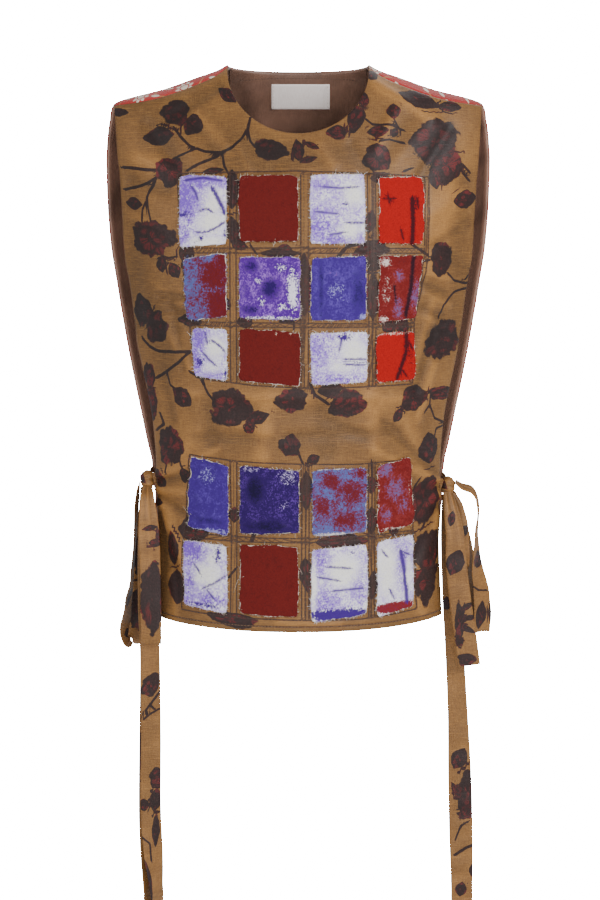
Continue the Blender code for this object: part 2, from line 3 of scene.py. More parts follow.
import bpy
import numpy as np
from mathutils import Euler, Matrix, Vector


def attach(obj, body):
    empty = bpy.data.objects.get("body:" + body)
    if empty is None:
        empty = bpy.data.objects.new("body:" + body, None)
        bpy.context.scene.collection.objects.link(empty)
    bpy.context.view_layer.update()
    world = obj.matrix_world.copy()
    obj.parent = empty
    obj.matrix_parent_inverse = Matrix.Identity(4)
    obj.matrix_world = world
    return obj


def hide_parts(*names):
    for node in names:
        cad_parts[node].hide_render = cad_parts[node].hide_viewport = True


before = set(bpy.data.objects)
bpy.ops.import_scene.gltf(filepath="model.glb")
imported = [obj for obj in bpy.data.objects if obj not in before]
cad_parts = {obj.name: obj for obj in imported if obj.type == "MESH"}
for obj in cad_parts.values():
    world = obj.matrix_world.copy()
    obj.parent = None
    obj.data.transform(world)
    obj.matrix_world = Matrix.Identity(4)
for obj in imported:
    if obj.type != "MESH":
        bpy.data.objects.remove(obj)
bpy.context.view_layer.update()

# Camera: a long lens in front of the garment at chest height, tipped down a little, at the photograph's angle.
# What is left of the framing is done by the lens shift.
camera_lens = bpy.data.cameras.new("camera")
camera_lens.lens = 74.93
camera_lens.sensor_width = 36.0
camera_lens.shift_y = -0.1316
camera = bpy.data.objects.new("camera", camera_lens)
camera.location = (0.0019, -1.9, -0.1534)
camera.rotation_euler = Euler((math.radians(86.5), 0.0, 0.0))
bpy.context.scene.collection.objects.link(camera)
bpy.context.scene.camera = camera


# Studio: a plain pale floor in plain white air, both bright to the camera, and panels of soft light, the strongest
# of them in front on the right.
FLOOR_Z = -1.0
FLOOR_REACH = 30.0
SEEN_WHITE = 40.0
AIR_LIGHT = 0.5


def join(tree, node, inputs):
    """Sets a node's inputs to plain values, or joins them to what other nodes give out."""
    for key, value in inputs.items():
        value = getattr(value, "socket", value)
        if isinstance(value, bpy.types.NodeSocket):
            tree.links.new(value, node.inputs[key])
        else:
            node.inputs[key].default_value = value


def add_node(tree, kind, inputs=None, **settings):
    """A shader node with its settings and its inputs."""
    node = tree.nodes.new(kind)
    for setting, value in settings.items():
        setattr(node, setting, value)
    join(tree, node, inputs or {})
    return node


corners = [(FLOOR_REACH * x, FLOOR_REACH * y, FLOOR_Z) for x, y in ((-1, -1), (1, -1), (1, 1), (-1, 1))]
floor_mesh = bpy.data.meshes.new("studio_floor")
floor_mesh.from_pydata(corners, [], [(0, 1, 2, 3)])
studio_floor = bpy.data.objects.new("studio_floor", floor_mesh)
bpy.context.scene.collection.objects.link(studio_floor)
floor_paint = bpy.data.materials.new("studio_floor")
floor_paint.use_nodes = True
seen = add_node(floor_paint.node_tree, "ShaderNodeLightPath").outputs["Is Camera Ray"]
glow = add_node(floor_paint.node_tree, "ShaderNodeMath", {0: seen, 1: SEEN_WHITE - 1.0}, operation="MULTIPLY")
join(floor_paint.node_tree, floor_paint.node_tree.nodes["Principled BSDF"], {
    "Base Color": (0.85, 0.85, 0.85, 1.0), "Roughness": 0.9, "Emission Color": (1.0, 1.0, 1.0, 1.0),
    "Emission Strength": glow.outputs[0]})
floor_mesh.materials.append(floor_paint)

air = bpy.data.worlds.new("studio_air")
air.use_nodes = True
seen = add_node(air.node_tree, "ShaderNodeLightPath").outputs["Is Camera Ray"]
brightness = add_node(air.node_tree, "ShaderNodeMapRange", {0: seen, 3: AIR_LIGHT, 4: SEEN_WHITE}).outputs[0]
join(air.node_tree, air.node_tree.nodes["Background"], {"Color": (1.0, 1.0, 1.0, 1.0), "Strength": brightness})
bpy.context.scene.world = air

LIGHTS = (  # name, place, what it points at, width, height, power
    ("key_light", (1.7, -2.3, 1.1), (0.0, 0.0, -0.35), 1.3, 1.3, 66.0),
    ("fill_light", (-2.1, -1.9, 0.2), (0.0, 0.0, -0.35), 1.4, 1.8, 18.0),
    ("front_light", (0.2, -2.7, -0.2), (0.0, 0.0, -0.35), 1.2, 1.2, 15.0),
    ("rear_light", (0.6, 1.6, 1.7), (0.0, 0.0, -0.3), 1.2, 1.2, 14.0),
)
for light_name, place, target, width, height, power in LIGHTS:
    lamp = bpy.data.lights.new(light_name, "AREA")
    lamp.shape = "RECTANGLE"
    lamp.size = width
    lamp.size_y = height
    lamp.energy = power
    light = bpy.data.objects.new(light_name, lamp)
    light.location = place
    light.rotation_euler = (Vector(target) - Vector(place)).to_track_quat("-Z", "Y").to_euler()
    bpy.context.scene.collection.objects.link(light)


# Front panel: one piece of gold slub silk printed with dark roses, bagged out with its lining, so that its edges
# turn over softly. It hangs from the shoulder seams, stands out over the chest and ends in a straight hem. Sizes
# are in millimetres from here on, and a level is given as its drop below the neck points.
MM = 0.001
NECK_HALF_WIDTH = 71.0
SHOULDER_TIP_HALF_WIDTH = 184.0
FRONT_NECK_DROP = 72.0
HEM_DROP = 555.5
SEAM_BELOW_RIDGE = 10.0
SEAM_END_BELOW_RIDGE = 4.0
FRONT_WALL = 1.5
SIDE_POWER = 2.2
FORM = (  # drop, half width, depth to the front, depth to the back, roundness
    (0, 71, 20, 40, 2.2), (6, 82, 25, 41, 2.2), (13, 102, 31, 43, 2.2), (24, 133, 38, 47, 2.2),
    (39, 185, 47, 54, 2.2), (46, 192, 51, 58, 2.15), (72, 197, 66, 69, 2.0), (100, 198.5, 79, 80, 1.8),
    (150, 197, 97, 92, 1.6), (200, 191, 106, 95, 1.5), (250, 183, 110, 92, 1.5), (300, 174.5, 109, 86, 1.5),
    (350, 165, 105, 80, 1.5), (404, 154, 100, 76, 1.5), (480, 151, 98, 78, 1.5), (560, 152, 104, 92, 1.5),
)
FRONT_EDGE = (  # drop, half width
    (40, 184), (47, 183.1), (103, 178.6), (142, 176), (197, 173), (219, 169), (267, 163), (303, 155), (357, 145),
    (399, 142.5), (438, 141.0), (462, 141.1), (500, 142.8), (552, 145.5),
)
FRONT_FOLDS = (  # from x and drop, to x and drop, spread, rise
    (-136, 410, -100, 365, 9, 2.2), (-137, 430, -118, 480, 9, 2.0), (136, 415, 105, 352, 9, 2.4),
    (138, 432, 120, 500, 10, 2.6), (-170, 110, -160, 260, 12, -2.5), (165, 120, 156, 270, 12, -2.5),
    (-126, 60, -96, 98, 11, 2.0), (128, 62, 100, 96, 11, 2.0), (-62, 338, 62, 345, 12, -1.6),
)
FRONT_CREASES = (  # the same, for the small creases
    (-137, 222, -108, 224, 2.6, 1.1), (-138, 230, -104, 231, 2.4, -1.1), (-135, 238, -106, 237, 2.6, 1.2),
    (-134, 246, -110, 244, 2.5, -0.9), (-140, 252, -104, 249, 3.0, 0.9),
    (120, 206, 150, 214, 3.0, 1.1), (121, 218, 146, 228, 3.0, -1.1), (124, 228, 150, 240, 3.2, 1.2),
    (118, 240, 142, 252, 3.4, -1.1), (122, 250, 150, 262, 3.6, 0.9),
    (-139, 412, -78, 378, 4.0, 1.6), (-139, 418, -84, 398, 4.0, -1.6), (-139, 426, -96, 424, 4.5, 1.6),
    (-138, 434, -100, 452, 4.5, -1.8), (-138, 440, -112, 500, 5.0, 1.8), (-137, 450, -128, 540, 5.0, -1.6),
    (139, 412, 84, 352, 4.5, -1.8), (139, 416, 74, 380, 4.0, 1.4), (139, 424, 92, 414, 4.5, -1.4),
    (138, 434, 98, 452, 4.5, 1.6), (138, 442, 106, 512, 5.0, -1.8), (137, 452, 124, 545, 5.5, 1.8),
    (-150, 62, -112, 112, 6.0, -2.1), (-100, 52, -72, 84, 6.0, 1.8), (150, 66, 118, 116, 6.0, -2.1),
    (96, 50, 76, 88, 6.0, 1.8), (78, 22, 132, 58, 6.0, 2.3), (-78, 24, -134, 60, 6.0, -1.8),
    (-30, 330, -36, 384, 9.0, 1.6), (22, 328, 28, 382, 9.0, -1.6), (70, 326, 74, 376, 8.0, 1.4),
    (-88, 326, -84, 372, 7.0, -1.2), (-168, 150, -128, 168, 5.0, 1.2), (170, 160, 130, 182, 5.0, -1.2),
    (-60, 84, -48, 108, 5.0, 1.2), (52, 82, 66, 108, 5.0, -1.1), (-128, 512, -120, 551, 6.0, 1.4),
    (132, 300, 118, 350, 5.0, 1.6), (-134, 306, -124, 352, 5.0, -1.4), (-20, 546, 40, 549, 4.0, 1.1),
    (-136, 232, -98, 262, 4.0, -1.4), (-130, 262, -106, 300, 4.5, 1.3), (-124, 236, -112, 300, 4.0, -1.3),
    (132, 236, 112, 300, 4.5, 1.5), (140, 250, 116, 322, 4.5, -1.6), (128, 268, 148, 262, 4.0, -1.2),
    (-160, 96, -120, 106, 7.0, 1.4), (-164, 118, -128, 128, 7.0, -1.5), (164, 132, 132, 150, 8.0, 1.5),
    (140, 180, 168, 206, 6.0, -1.3), (-40, 82, -20, 104, 6.0, -1.3), (20, 84, 34, 104, 6.0, 1.2),
    (-112, 325, 110, 330, 5.0, 1.2), (-100, 368, 96, 362, 6.0, -1.4), (-60, 352, -20, 366, 6.0, 1.2),
    (30, 350, 66, 368, 6.0, -1.3), (-128, 470, -118, 545, 4.5, -1.3), (126, 462, 120, 540, 4.5, 1.4),
)
SHOULDER_COLUMNS = 46
NECK_COLUMNS = 74
NECK_CROWDING = 1.25
FRONT_ROWS = 270
FRONT = -1
BACK = 1


def smooth_curve(keys, values):
    """A smooth function of arrays through a table's values that never swings past them."""
    keys = np.array(keys, float)
    values = np.array(values, float)
    spans = np.diff(keys)
    rises = np.diff(values) / spans
    slopes = np.zeros(len(keys))
    slopes[0], slopes[-1] = rises[0], rises[-1]
    for i in range(1, len(keys) - 1):
        if rises[i - 1] * rises[i] > 0:
            before, after = 2 * spans[i] + spans[i - 1], spans[i] + 2 * spans[i - 1]
            slopes[i] = (before + after) / (before / rises[i - 1] + after / rises[i])

    def value_at(key):
        key = np.clip(key, keys[0], keys[-1])
        i = np.clip(np.searchsorted(keys, key, side="right") - 1, 0, len(keys) - 2)
        t = (key - keys[i]) / spans[i]
        start = (1 + 2 * t) * (1 - t) ** 2 * values[i] + t * (1 - t) ** 2 * spans[i] * slopes[i]
        end = t * t * (3 - 2 * t) * values[i + 1] + t * t * (t - 1) * spans[i] * slopes[i + 1]
        return start + end

    return value_at


drops, *form_columns = zip(*FORM)
form_half_width, form_front_depth, form_back_depth, form_roundness = (
    smooth_curve(drops, column) for column in form_columns)


def form_depth(x, z, side):
    """Y of the form's surface at places seen from the front or the back."""
    reach = form_front_depth(-z) if side == FRONT else form_back_depth(-z)
    across = np.minimum(np.abs(x) / form_half_width(-z), 1.0)
    return side * reach * (1 - across ** SIDE_POWER) ** (1 / form_roundness(-z))


def form_level(x, y, z):
    """1 on the form's surface, less inside it and more outside it."""
    reach = np.where(y < 0, form_front_depth(-z), form_back_depth(-z))
    return (np.abs(x) / form_half_width(-z)) ** SIDE_POWER + (np.abs(y) / reach) ** form_roundness(-z)


def form_normals(points):
    """Directions straight out of the form at points of its surface."""
    step = 0.5
    x, y = points[..., 0], points[..., 1]
    z = np.minimum(points[..., 2], -step)
    out = np.stack([
        form_level(x + step, y, z) - form_level(x - step, y, z),
        form_level(x, y + step, z) - form_level(x, y - step, z),
        form_level(x, y, z + step) - form_level(x, y, z - step),
    ], axis=-1)
    return out / np.linalg.norm(out, axis=-1, keepdims=True)


def fold_rise(x, z, folds):
    """Height of soft ridges and troughs at places of a panel."""
    rise = np.zeros(np.shape(x))
    for x_from, drop_from, x_to, drop_to, spread, height in folds:
        along = np.array([x_to - x_from, drop_from - drop_to], float)
        dx, dz = x - x_from, z + drop_from
        t = np.clip((dx * along[0] + dz * along[1]) / (along @ along), 0.0, 1.0)
        near = np.hypot(dx - t * along[0], dz - t * along[1]) / spread
        rise = rise + height * np.exp(-near ** 2)
    return rise


def ridge_drop(x):
    """How far the shoulder ridge has fallen at a place across."""
    low, high = 0.0, 60.0
    for _ in range(40):
        middle = (low + high) / 2
        low, high = (middle, high) if form_half_width(middle) < abs(x) else (low, middle)
    return (low + high) / 2


def seam_point(fraction, hand, shift=0.0):
    """Place across and drop of the shoulder seam, from the neck at 0 to the shoulder tip at 1."""
    x = NECK_HALF_WIDTH + (SHOULDER_TIP_HALF_WIDTH - NECK_HALF_WIDTH) * fraction
    bow = 1 - abs(2 * fraction - 1) ** 3
    below = SEAM_END_BELOW_RIDGE + (SEAM_BELOW_RIDGE - SEAM_END_BELOW_RIDGE) * bow
    return hand * x, ridge_drop(x) + below - shift


def column_places(shoulder_columns, neck_columns):
    """Where a panel's columns start: on which shoulder, how far along, or at which angle round the neck."""
    places = [("seam", 1 - i / shoulder_columns, -1) for i in range(shoulder_columns + 1)]
    for i in range(1, neck_columns):
        share = 2 * i / neck_columns - 1
        turn = math.pi / 2 * (NECK_CROWDING * share - (NECK_CROWDING - 1) * share ** 3)
        places.append(("neck", turn, 0))
    return places + [("seam", i / shoulder_columns, 1) for i in range(shoulder_columns + 1)]


def spread_evenly(chain, count):
    """Points at equal distances along a chain of points."""
    lengths = np.concatenate([[0.0], np.cumsum(np.linalg.norm(np.diff(chain, axis=0), axis=1))])
    wanted = np.linspace(0.0, lengths[-1], count + 1)
    return np.stack([np.interp(wanted, lengths, chain[:, axis]) for axis in range(3)], axis=1)


def column_down(x_top, drop_top, hem_share, edge, side, steps=400):
    """A chain of points of the form from one place down to the hem, its share of the width eased to the hem's."""
    t = np.linspace(0.0, 1.0, steps + 1)
    drop = drop_top + (HEM_DROP - drop_top) * t
    top_share = x_top / edge(drop_top)
    x = edge(drop) * (top_share + (hem_share - top_share) * t * t * (3 - 2 * t))
    return np.stack([x, form_depth(x, -drop, side), -drop], axis=1)


def moved_out(points, folds, lift=0.0):
    """Points of the form, moved straight out of it by folds and a lift."""
    rise = fold_rise(points[..., 0], points[..., 2], folds) + lift
    return points + form_normals(points) * rise[..., None]


def shell(outer, inner, bulge):
    """Points and faces of a thin closed cloth between two grids, whose edge is rounded by a bulge. With them come
    the number of faces on the outer side and the edge, and the place in the grid that each point came from."""
    across, down = outer.shape[:2]
    count = across * down
    number = np.arange(count).reshape(across, down)
    quads = np.stack([number[:-1, :-1], number[1:, :-1], number[1:, 1:], number[:-1, 1:]], axis=-1)
    quads = quads.reshape(-1, 4)
    rim = np.concatenate([number[:, 0], number[-1, 1:], number[-2::-1, -1], number[0, -2:0:-1]])
    top, foot = outer.reshape(-1, 3), inner.reshape(-1, 3)
    middle = (top + foot) / 2
    inside = np.concatenate([number[:, 1], number[-2, 1:], number[-2::-1, -2], number[1, -2:0:-1]])
    away = middle[rim] - middle[inside]
    away /= np.maximum(np.linalg.norm(away, axis=1, keepdims=True), 1e-6)
    points = np.concatenate([top, foot, middle[rim] + away * bulge])
    following = np.roll(rim, -1)
    turn = 2 * count + np.arange(len(rim))
    turn_following = np.roll(turn, -1)
    upper = np.stack([following, rim, turn, turn_following], axis=1)
    lower = np.stack([turn_following, turn, count + rim, count + following], axis=1)
    faces = np.concatenate([quads, upper, lower, count + quads[:, ::-1]])
    corners = points[faces]
    if (corners[:, 0] * np.cross(corners[:, 1] - corners[:, 0], corners[:, 2] - corners[:, 0])).sum() < 0:
        faces = faces[:, ::-1]
    return points, faces, len(quads) + 2 * len(rim), np.concatenate([number.ravel(), number.ravel(), rim])


def add_mesh(name, points, faces, paints, node=None):
    """A smooth mesh from points in millimetres, on the garment's one body and in a solid's place."""
    mesh = bpy.data.meshes.new(name)
    mesh.from_pydata((np.asarray(points) * MM).tolist(), [], np.asarray(faces).tolist())
    mesh.shade_smooth()
    for paint in paints:
        mesh.materials.append(paint)
    piece = bpy.data.objects.new(name, mesh)
    bpy.context.scene.collection.objects.link(piece)
    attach(piece, "root")
    if node:
        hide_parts(node)
    return piece


def keep_on_points(piece, sources=slice(None), **kept_values):
    """Keeps a number or three numbers for each point of a piece, under names that its material reads."""
    for name, values in kept_values.items():
        if isinstance(values, tuple):
            values = np.stack(np.broadcast_arrays(*values), axis=-1).reshape(-1, 3)[sources]
            kind, field = "FLOAT_VECTOR", "vector"
        else:
            values = np.ravel(values)[sources]
            kind, field = "FLOAT", "value"
        kept = piece.data.attributes.new(name, kind, "POINT").data
        kept.foreach_set(field, np.ascontiguousarray(values, np.float32).ravel())


def across_cloth(x, z, side, steps=48):
    """Length of the cloth from the middle to places across, measured along the form's curve."""
    share = np.linspace(0.0, 1.0, steps + 1)
    along = x[..., None] * share
    depth = form_depth(along, z[..., None] + 0 * share, side)
    return np.sign(x) * np.hypot(np.diff(along, axis=-1), np.diff(depth, axis=-1)).sum(axis=-1)


def line_distances(x, z, lines):
    """Distance to the nearest of several broken lines, with its sign for its side, and that line's number."""
    nearest = np.full(x.shape, 1e6)
    signed = np.full(x.shape, 1e6)
    which = np.zeros(x.shape, int)
    for number, line in enumerate(lines):
        for start, end in zip(line, line[1:]):
            along = np.array(end, float) - np.array(start, float)
            dx, dz = x - start[0], z - start[1]
            t = np.clip((dx * along[0] + dz * along[1]) / max(along @ along, 1e-9), 0.0, 1.0)
            distance = np.hypot(dx - t * along[0], dz - t * along[1])
            side = np.where(dx * along[1] - dz * along[0] < 0, -1.0, 1.0)
            closer = distance < nearest
            nearest = np.where(closer, distance, nearest)
            signed = np.where(closer, distance * side, signed)
            which = np.where(closer, number, which)
    return signed, nearest, which


def beside_strokes(x, z, strokes):
    """Distances to the nearest of several strokes, each a width and its places, and half that stroke's width."""
    strokes = strokes or ((0.0, (1e5, 0), (1e5, 1)),)
    signed, nearest, which = line_distances(x, z, [stroke[1:] for stroke in strokes])
    return signed, nearest, np.array([stroke[0] / 2 for stroke in strokes])[which]


PRINTED_FLOWERS = (  # kind, place across the cloth and level, half length, half width, turn, share of crimson
    ("leaf", -70, -33, 12.1, 6.1, -41, 0.4), ("rose", -121, -51, 15.3, 14.1, 10, 0.25),
    ("rose", -103, -64, 11.0, 10.1, 60, 0.35), ("leaf", -139, -74, 17.0, 9.0, 5, 0.25),
    ("rose", -128, -109, 15.7, 14.9, 79, 0.25), ("leaf", -172, -140, 11.9, 6.0, -7, 0.25),
    ("rose", -151, -174, 28.7, 18.6, 0, 0.6), ("leaf", -140, -200, 7.9, 6.1, -78, 0.5),
    ("leaf", -125, -205, 9.2, 6.7, -56, 0.4), ("leaf", -111, -187, 10.0, 8.5, 57, 0.3),
    ("leaf", -83, -109, 11.0, 3.4, 8, 0.8), ("leaf", -64, -127, 19.4, 8.9, 90, 0.3),
    ("leaf", -62, -168, 15.4, 7.9, 100, 0.15), ("leaf", -56, -181, 8.8, 3.8, -10, 0.4),
    ("rose", -171, -246, 17.0, 15.9, 90, 0.35), ("rose", -150, -262, 15.7, 17.6, 63, 0.3),
    ("rose", -108, -253, 13.5, 6.8, 0, 0.3), ("rose", -51, -253, 7.9, 7.7, 0, 0.3),
    ("rose", -69, -236, 6.8, 4.0, -59, 0.5), ("leaf", -184, -49, 13.2, 4.1, -4, 0.1),
    ("rose", -27, -88, 17.5, 10.8, -8, 0.35), ("leaf", 0, -89, 11.8, 5.8, 100, 0.9),
    ("leaf", 13, -84, 8.8, 2.9, -25, 0.9), ("leaf", 10, -98, 9.7, 2.9, 15, 0.9),
    ("leaf", -13, -183, 6.7, 3.8, 0, 0.9), ("leaf", -17, -188, 19.2, 4.8, 0, 0.1),
    ("leaf", 6, -218, 30.5, 8.6, 90, 0.75), ("leaf", -8, -250, 11.5, 4.8, 20, 0.2),
    ("leaf", 80, -116, 11.0, 4.9, 0, 0.3), ("rose", 38, -71, 9.8, 8.0, 0, 0.9),
    ("rose", 57, -57, 14.0, 8.9, 70, 0.55), ("leaf", 65, -38, 8.1, 5.0, 90, 0.7),
    ("leaf", 75, -13, 6.4, 5.3, -51, 0.1), ("leaf", 120, -38, 22.5, 8.2, -18, 0.05),
    ("leaf", 152, -44, 12.9, 5.1, -5, 0.05), ("rose", 137, -80, 27.4, 24.0, 19, 0.45),
    ("rose", 149, -103, 20.3, 18.8, -36, 0.6), ("leaf", 137, -115, 11.8, 6.6, -79, 0.5),
    ("rose", 77, -96, 14.9, 13.7, 0, 0.35), ("leaf", 94, -50, 8.1, 7.0, -90, 0.5),
    ("leaf", 78, -70, 10.9, 6.0, 5, 0.6), ("leaf", 95, -71, 5.0, 4.0, 60, 0.3),
    ("leaf", 175, -136, 16.2, 9.0, 7, 0.25), ("rose", 149, -194, 17.8, 15.1, 77, 0.2),
    ("leaf", 70, -158, 11.5, 5.9, 80, 0.7), ("rose", 71, -185, 19.0, 9.6, 10, 0.35),
    ("leaf", 74, -197, 9.7, 9.0, 59, 0.15), ("leaf", 73, -230, 23.0, 8.1, 90, 0.2),
    ("leaf", 89, -258, 7.9, 7.3, -58, 0.4), ("leaf", 104, -258, 8.1, 8.6, 57, 0.4),
    ("rose", 157, -274, 27.5, 19.3, 21, 0.45), ("rose", -165, -311, 14.2, 10.2, 90, 0.9),
    ("rose", -164, -338, 16.4, 10.6, 90, 0.8), ("leaf", -120, -329, 13.8, 10.0, -34, 0.35),
    ("rose", -67, -338, 22.6, 20.6, 0, 0.6), ("leaf", -39, -347, 11.8, 5.9, 20, 0.2),
    ("leaf", -47, -357, 5.9, 5.9, -60, 0.6), ("rose", -6, -329, 16.3, 12.7, 10, 0.4),
    ("leaf", 31, -319, 12.6, 7.8, 10, 0.15), ("rose", 48, -333, 18.8, 14.7, 10, 0.45),
    ("rose", 119, -330, 16.5, 12.7, 25, 0.4), ("leaf", 101, -346, 8.3, 4.5, 56, 0.1),
    ("rose", 157, -327, 22.5, 7.1, 0, 0.9), ("leaf", 143, -382, 16.6, 15.7, 98, 0.2),
    ("rose", -138, -380, 21.0, 19.6, 50, 0.6), ("leaf", -121, -408, 8.1, 6.7, -77, 0.15),
    ("leaf", -159, -414, 13.5, 8.3, -32, 0.8), ("rose", -8, -374, 11.7, 10.7, -41, 0.6),
    ("leaf", 15, -387, 6.8, 4.9, 20, 0.7), ("leaf", -163, -439, 10.7, 4.1, 0, 0.05),
    ("rose", 139, -435, 28.3, 20.4, 48, 0.3), ("rose", 145, -488, 22.2, 25.4, 90, 0.5),
    ("rose", 144, -516, 20.5, 24.9, 74, 0.4), ("leaf", 200, -548, 13.8, 9.7, -32, 0.2),
    ("leaf", -138, -483, 11.1, 17.5, 90, 0.4), ("leaf", -133, -521, 17.9, 13.7, 90, 0.35),
    ("leaf", -108, -460, 21.3, 14.1, 8, 0.1), ("rose", -65, -546, 27.4, 7.8, -5, 0.55),
    ("leaf", 43, -469, 28.0, 7.9, 0, 0.6), ("leaf", 73, -414, 8.9, 6.4, 90, 0.7),
    ("leaf", 75, -513, 14.6, 6.5, 84, 0.15), ("leaf", 8, -418, 19.6, 6.8, 90, 0.35),
    ("leaf", 8, -500, 17.5, 6.8, 95, 0.55), ("leaf", 73, -449, 13.8, 7.5, 90, 0.9),
    ("leaf", 99, -460, 7.0, 6.0, -90, 0.2), ("leaf", -63, -443, 7.9, 6.3, 90, 0.5),
)
PRINTED_STEMS = (  # width, then places across the cloth and levels
    (2.7, (-47, -57), (-49, -67), (-55, -77), (-64, -86), (-74, -91), (-91, -90), (-106, -85), (-115, -76),
     (-122, -67)),
    (2.2, (-49, -67), (-47, -79), (-41, -86)),
    (2.2, (-101, -88), (-112, -92), (-123, -96)),
    (2.7, (-72, -91), (-84, -97), (-96, -102), (-109, -108)),
    (2.2, (-74, -91), (-72, -104), (-66, -114)),
    (3.2, (-140, -108), (-155, -107), (-169, -105), (-184, -104)),
    (3.0, (-141, -114), (-153, -120), (-164, -123), (-184, -126)),
    (2.4, (-143, -117), (-151, -127), (-155, -137), (-161, -147), (-161, -158)),
    (2.0, (-145, -121), (-154, -133), (-153, -147), (-150, -158)),
    (2.0, (-141, -190), (-132, -193), (-123, -192)),
    (1.6, (-139, -191), (-134, -198)),
    (1.9, (-46, -180), (-40, -189)),
    (2.2, (80, -80), (90, -78), (104, -82)),
    (2.2, (67, -58), (73, -63), (92, -64), (104, -69)),
    (1.8, (93, -56), (98, -65)),
    (2.4, (158, -90), (167, -101), (178, -109)),
    (2.4, (162, -97), (169, -109), (179, -117)),
    (2.4, (112, -106), (104, -109)),
    (3.5, (62, -179), (48, -181), (37, -193)),
    (2.7, (113, -180), (122, -185), (132, -191)),
    (2.4, (134, -195), (118, -198)),
    (2.4, (158, -209), (169, -216), (186, -219), (200, -218)),
    (2.4, (201, -222), (171, -227), (154, -239), (150, -252)),
    (2.2, (190, -212), (185, -216)),
    (2.2, (-4, -260), (-4, -254)),
    (3.0, (-173, -273), (-161, -281), (-149, -285), (-126, -285), (-109, -284)),
    (3.0, (-109, -284), (-123, -295), (-139, -305), (-154, -312)),
    (2.4, (-139, -305), (-135, -318), (-125, -323)),
    (2.4, (-109, -304), (-98, -309), (-90, -324), (-83, -332)),
    (1.9, (-96, -307), (-92, -321)),
    (1.9, (-53, -349), (-45, -346)),
    (3.0, (12, -314), (16, -324), (29, -333)),
    (3.2, (-159, -365), (-146, -358), (-151, -348)),
    (2.4, (0, -380), (4, -390)),
    (2.2, (8, -392), (14, -387)),
    (2.2, (134, -345), (141, -338), (141, -330)),
    (2.4, (141, -338), (149, -352), (171, -360)),
    (2.2, (151, -375), (153, -363), (171, -360)),
    (2.2, (-125, -393), (-121, -403)),
    (2.7, (-144, -397), (-145, -407)),
    (2.4, (132, -412), (124, -423)),
    (2.4, (140, -455), (133, -464)),
    (4.1, (-45, -467), (-41, -455)),
    (2.2, (-61, -495), (-70, -506)),
    (2.4, (73, -391), (74, -407)),
    (2.4, (184, -522), (203, -537)),
)
FLOWER_KINDS = {"rose": 0.0, "leaf": 1.0}
SEED_STEP = 0.618  # keeps one flower's petals unlike the next one's


def add_print(piece, across, level, flowers, stems, seed=0):
    """Keeps on a cloth's points where they lie in their nearest printed flower or leaf, and beside the stems."""
    reach = np.full(across.shape, 1e6)
    flower = np.full(across.shape + (3,), 9.0)
    look = np.zeros(across.shape + (3,))
    for number, (kind, middle, middle_level, length, width, turn, crimson) in enumerate(flowers):
        turn = math.radians(turn)
        dx, dz = across - middle, level - middle_level
        u = (dx * math.cos(turn) + dz * math.sin(turn)) / max(length, width)
        v = (dz * math.cos(turn) - dx * math.sin(turn)) / min(length, width)
        r = np.hypot(u, v)
        nearer = r < reach
        reach = np.where(nearer, r, reach)
        flower = np.where(nearer[..., None], np.stack([u, v, r], axis=-1), flower)
        own = np.array([crimson, seed + number * SEED_STEP % 1.0, FLOWER_KINDS[kind]])
        look = np.where(nearer[..., None], own, look)
    keep_on_points(piece, flower=tuple(flower.T), flower_look=tuple(look.T),
                   stem=beside_strokes(across, level, stems), cloth_place=(across, level, 0 * level))


class Shade:
    """A value, place or colour that changes over a cloth, so that sums with it are written as they are said."""

    def __init__(self, tree, socket):
        self.tree, self.socket = tree, socket

    def __add__(self, other):
        return maths(self.tree, "ADD", self, other)

    def __sub__(self, other):
        return maths(self.tree, "SUBTRACT", self, other)

    def __rsub__(self, other):
        return maths(self.tree, "SUBTRACT", other, self)

    def __mul__(self, other):
        return maths(self.tree, "MULTIPLY", self, other)

    def __truediv__(self, other):
        return maths(self.tree, "DIVIDE", self, other)

    def __abs__(self):
        return maths(self.tree, "ABSOLUTE", self)

    def cosine(self):
        """The cosine of a turn."""
        return maths(self.tree, "COSINE", self)

    def most(self, other):
        """The greater of two values."""
        return maths(self.tree, "MAXIMUM", self, other)

    def ramp(self, low, high, start=0.0, end=1.0):
        """The value carried from one range to another, and held at its ends."""
        inputs = {0: self, 1: low, 2: high, 3: start, 4: end}
        return Shade(self.tree, add_node(self.tree, "ShaderNodeMapRange", inputs).outputs[0])

    def axes(self):
        """The three numbers of a place or of a triple."""
        return [Shade(self.tree, part) for part in add_node(self.tree, "ShaderNodeSeparateXYZ", {0: self}).outputs]

    def noise(self, across, along, detail=3.0, roughness=0.55):
        """Noise at a place in millimetres, with its grain's size across and along."""
        scaled = add_node(self.tree, "ShaderNodeVectorMath", {0: self, 1: (1.0 / across, 1.0 / along, 1.0)},
                          operation="MULTIPLY").outputs[0]
        inputs = {"Vector": scaled, "Scale": 1.0, "Detail": detail, "Roughness": roughness}
        return Shade(self.tree, add_node(self.tree, "ShaderNodeTexNoise", inputs).outputs["Fac"])


def maths(tree, operation, *values):
    """The result of a maths node."""
    return Shade(tree, add_node(tree, "ShaderNodeMath", dict(enumerate(values)), operation=operation).outputs[0])


def distance_from_middle(x, y):
    """How far a place is from the middle of its pattern."""
    return maths(x.tree, "SQRT", x * x + y * y)


def joined(*numbers):
    """A place made from two or three numbers."""
    tree = numbers[0].tree
    return Shade(tree, add_node(tree, "ShaderNodeCombineXYZ", dict(enumerate(numbers))).outputs[0])


def mix(share, first, second):
    """One colour mixed into another, each a shade or three plain numbers."""
    colours = [colour if isinstance(colour, Shade) else (*colour, 1.0) for colour in (first, second)]
    node = add_node(share.tree, "ShaderNodeMix", {0: share, 6: colours[0], 7: colours[1]}, data_type="RGBA")
    return Shade(share.tree, node.outputs[2])


def lit(colour, times):
    """A colour made lighter or darker."""
    return tuple(times * part for part in colour)


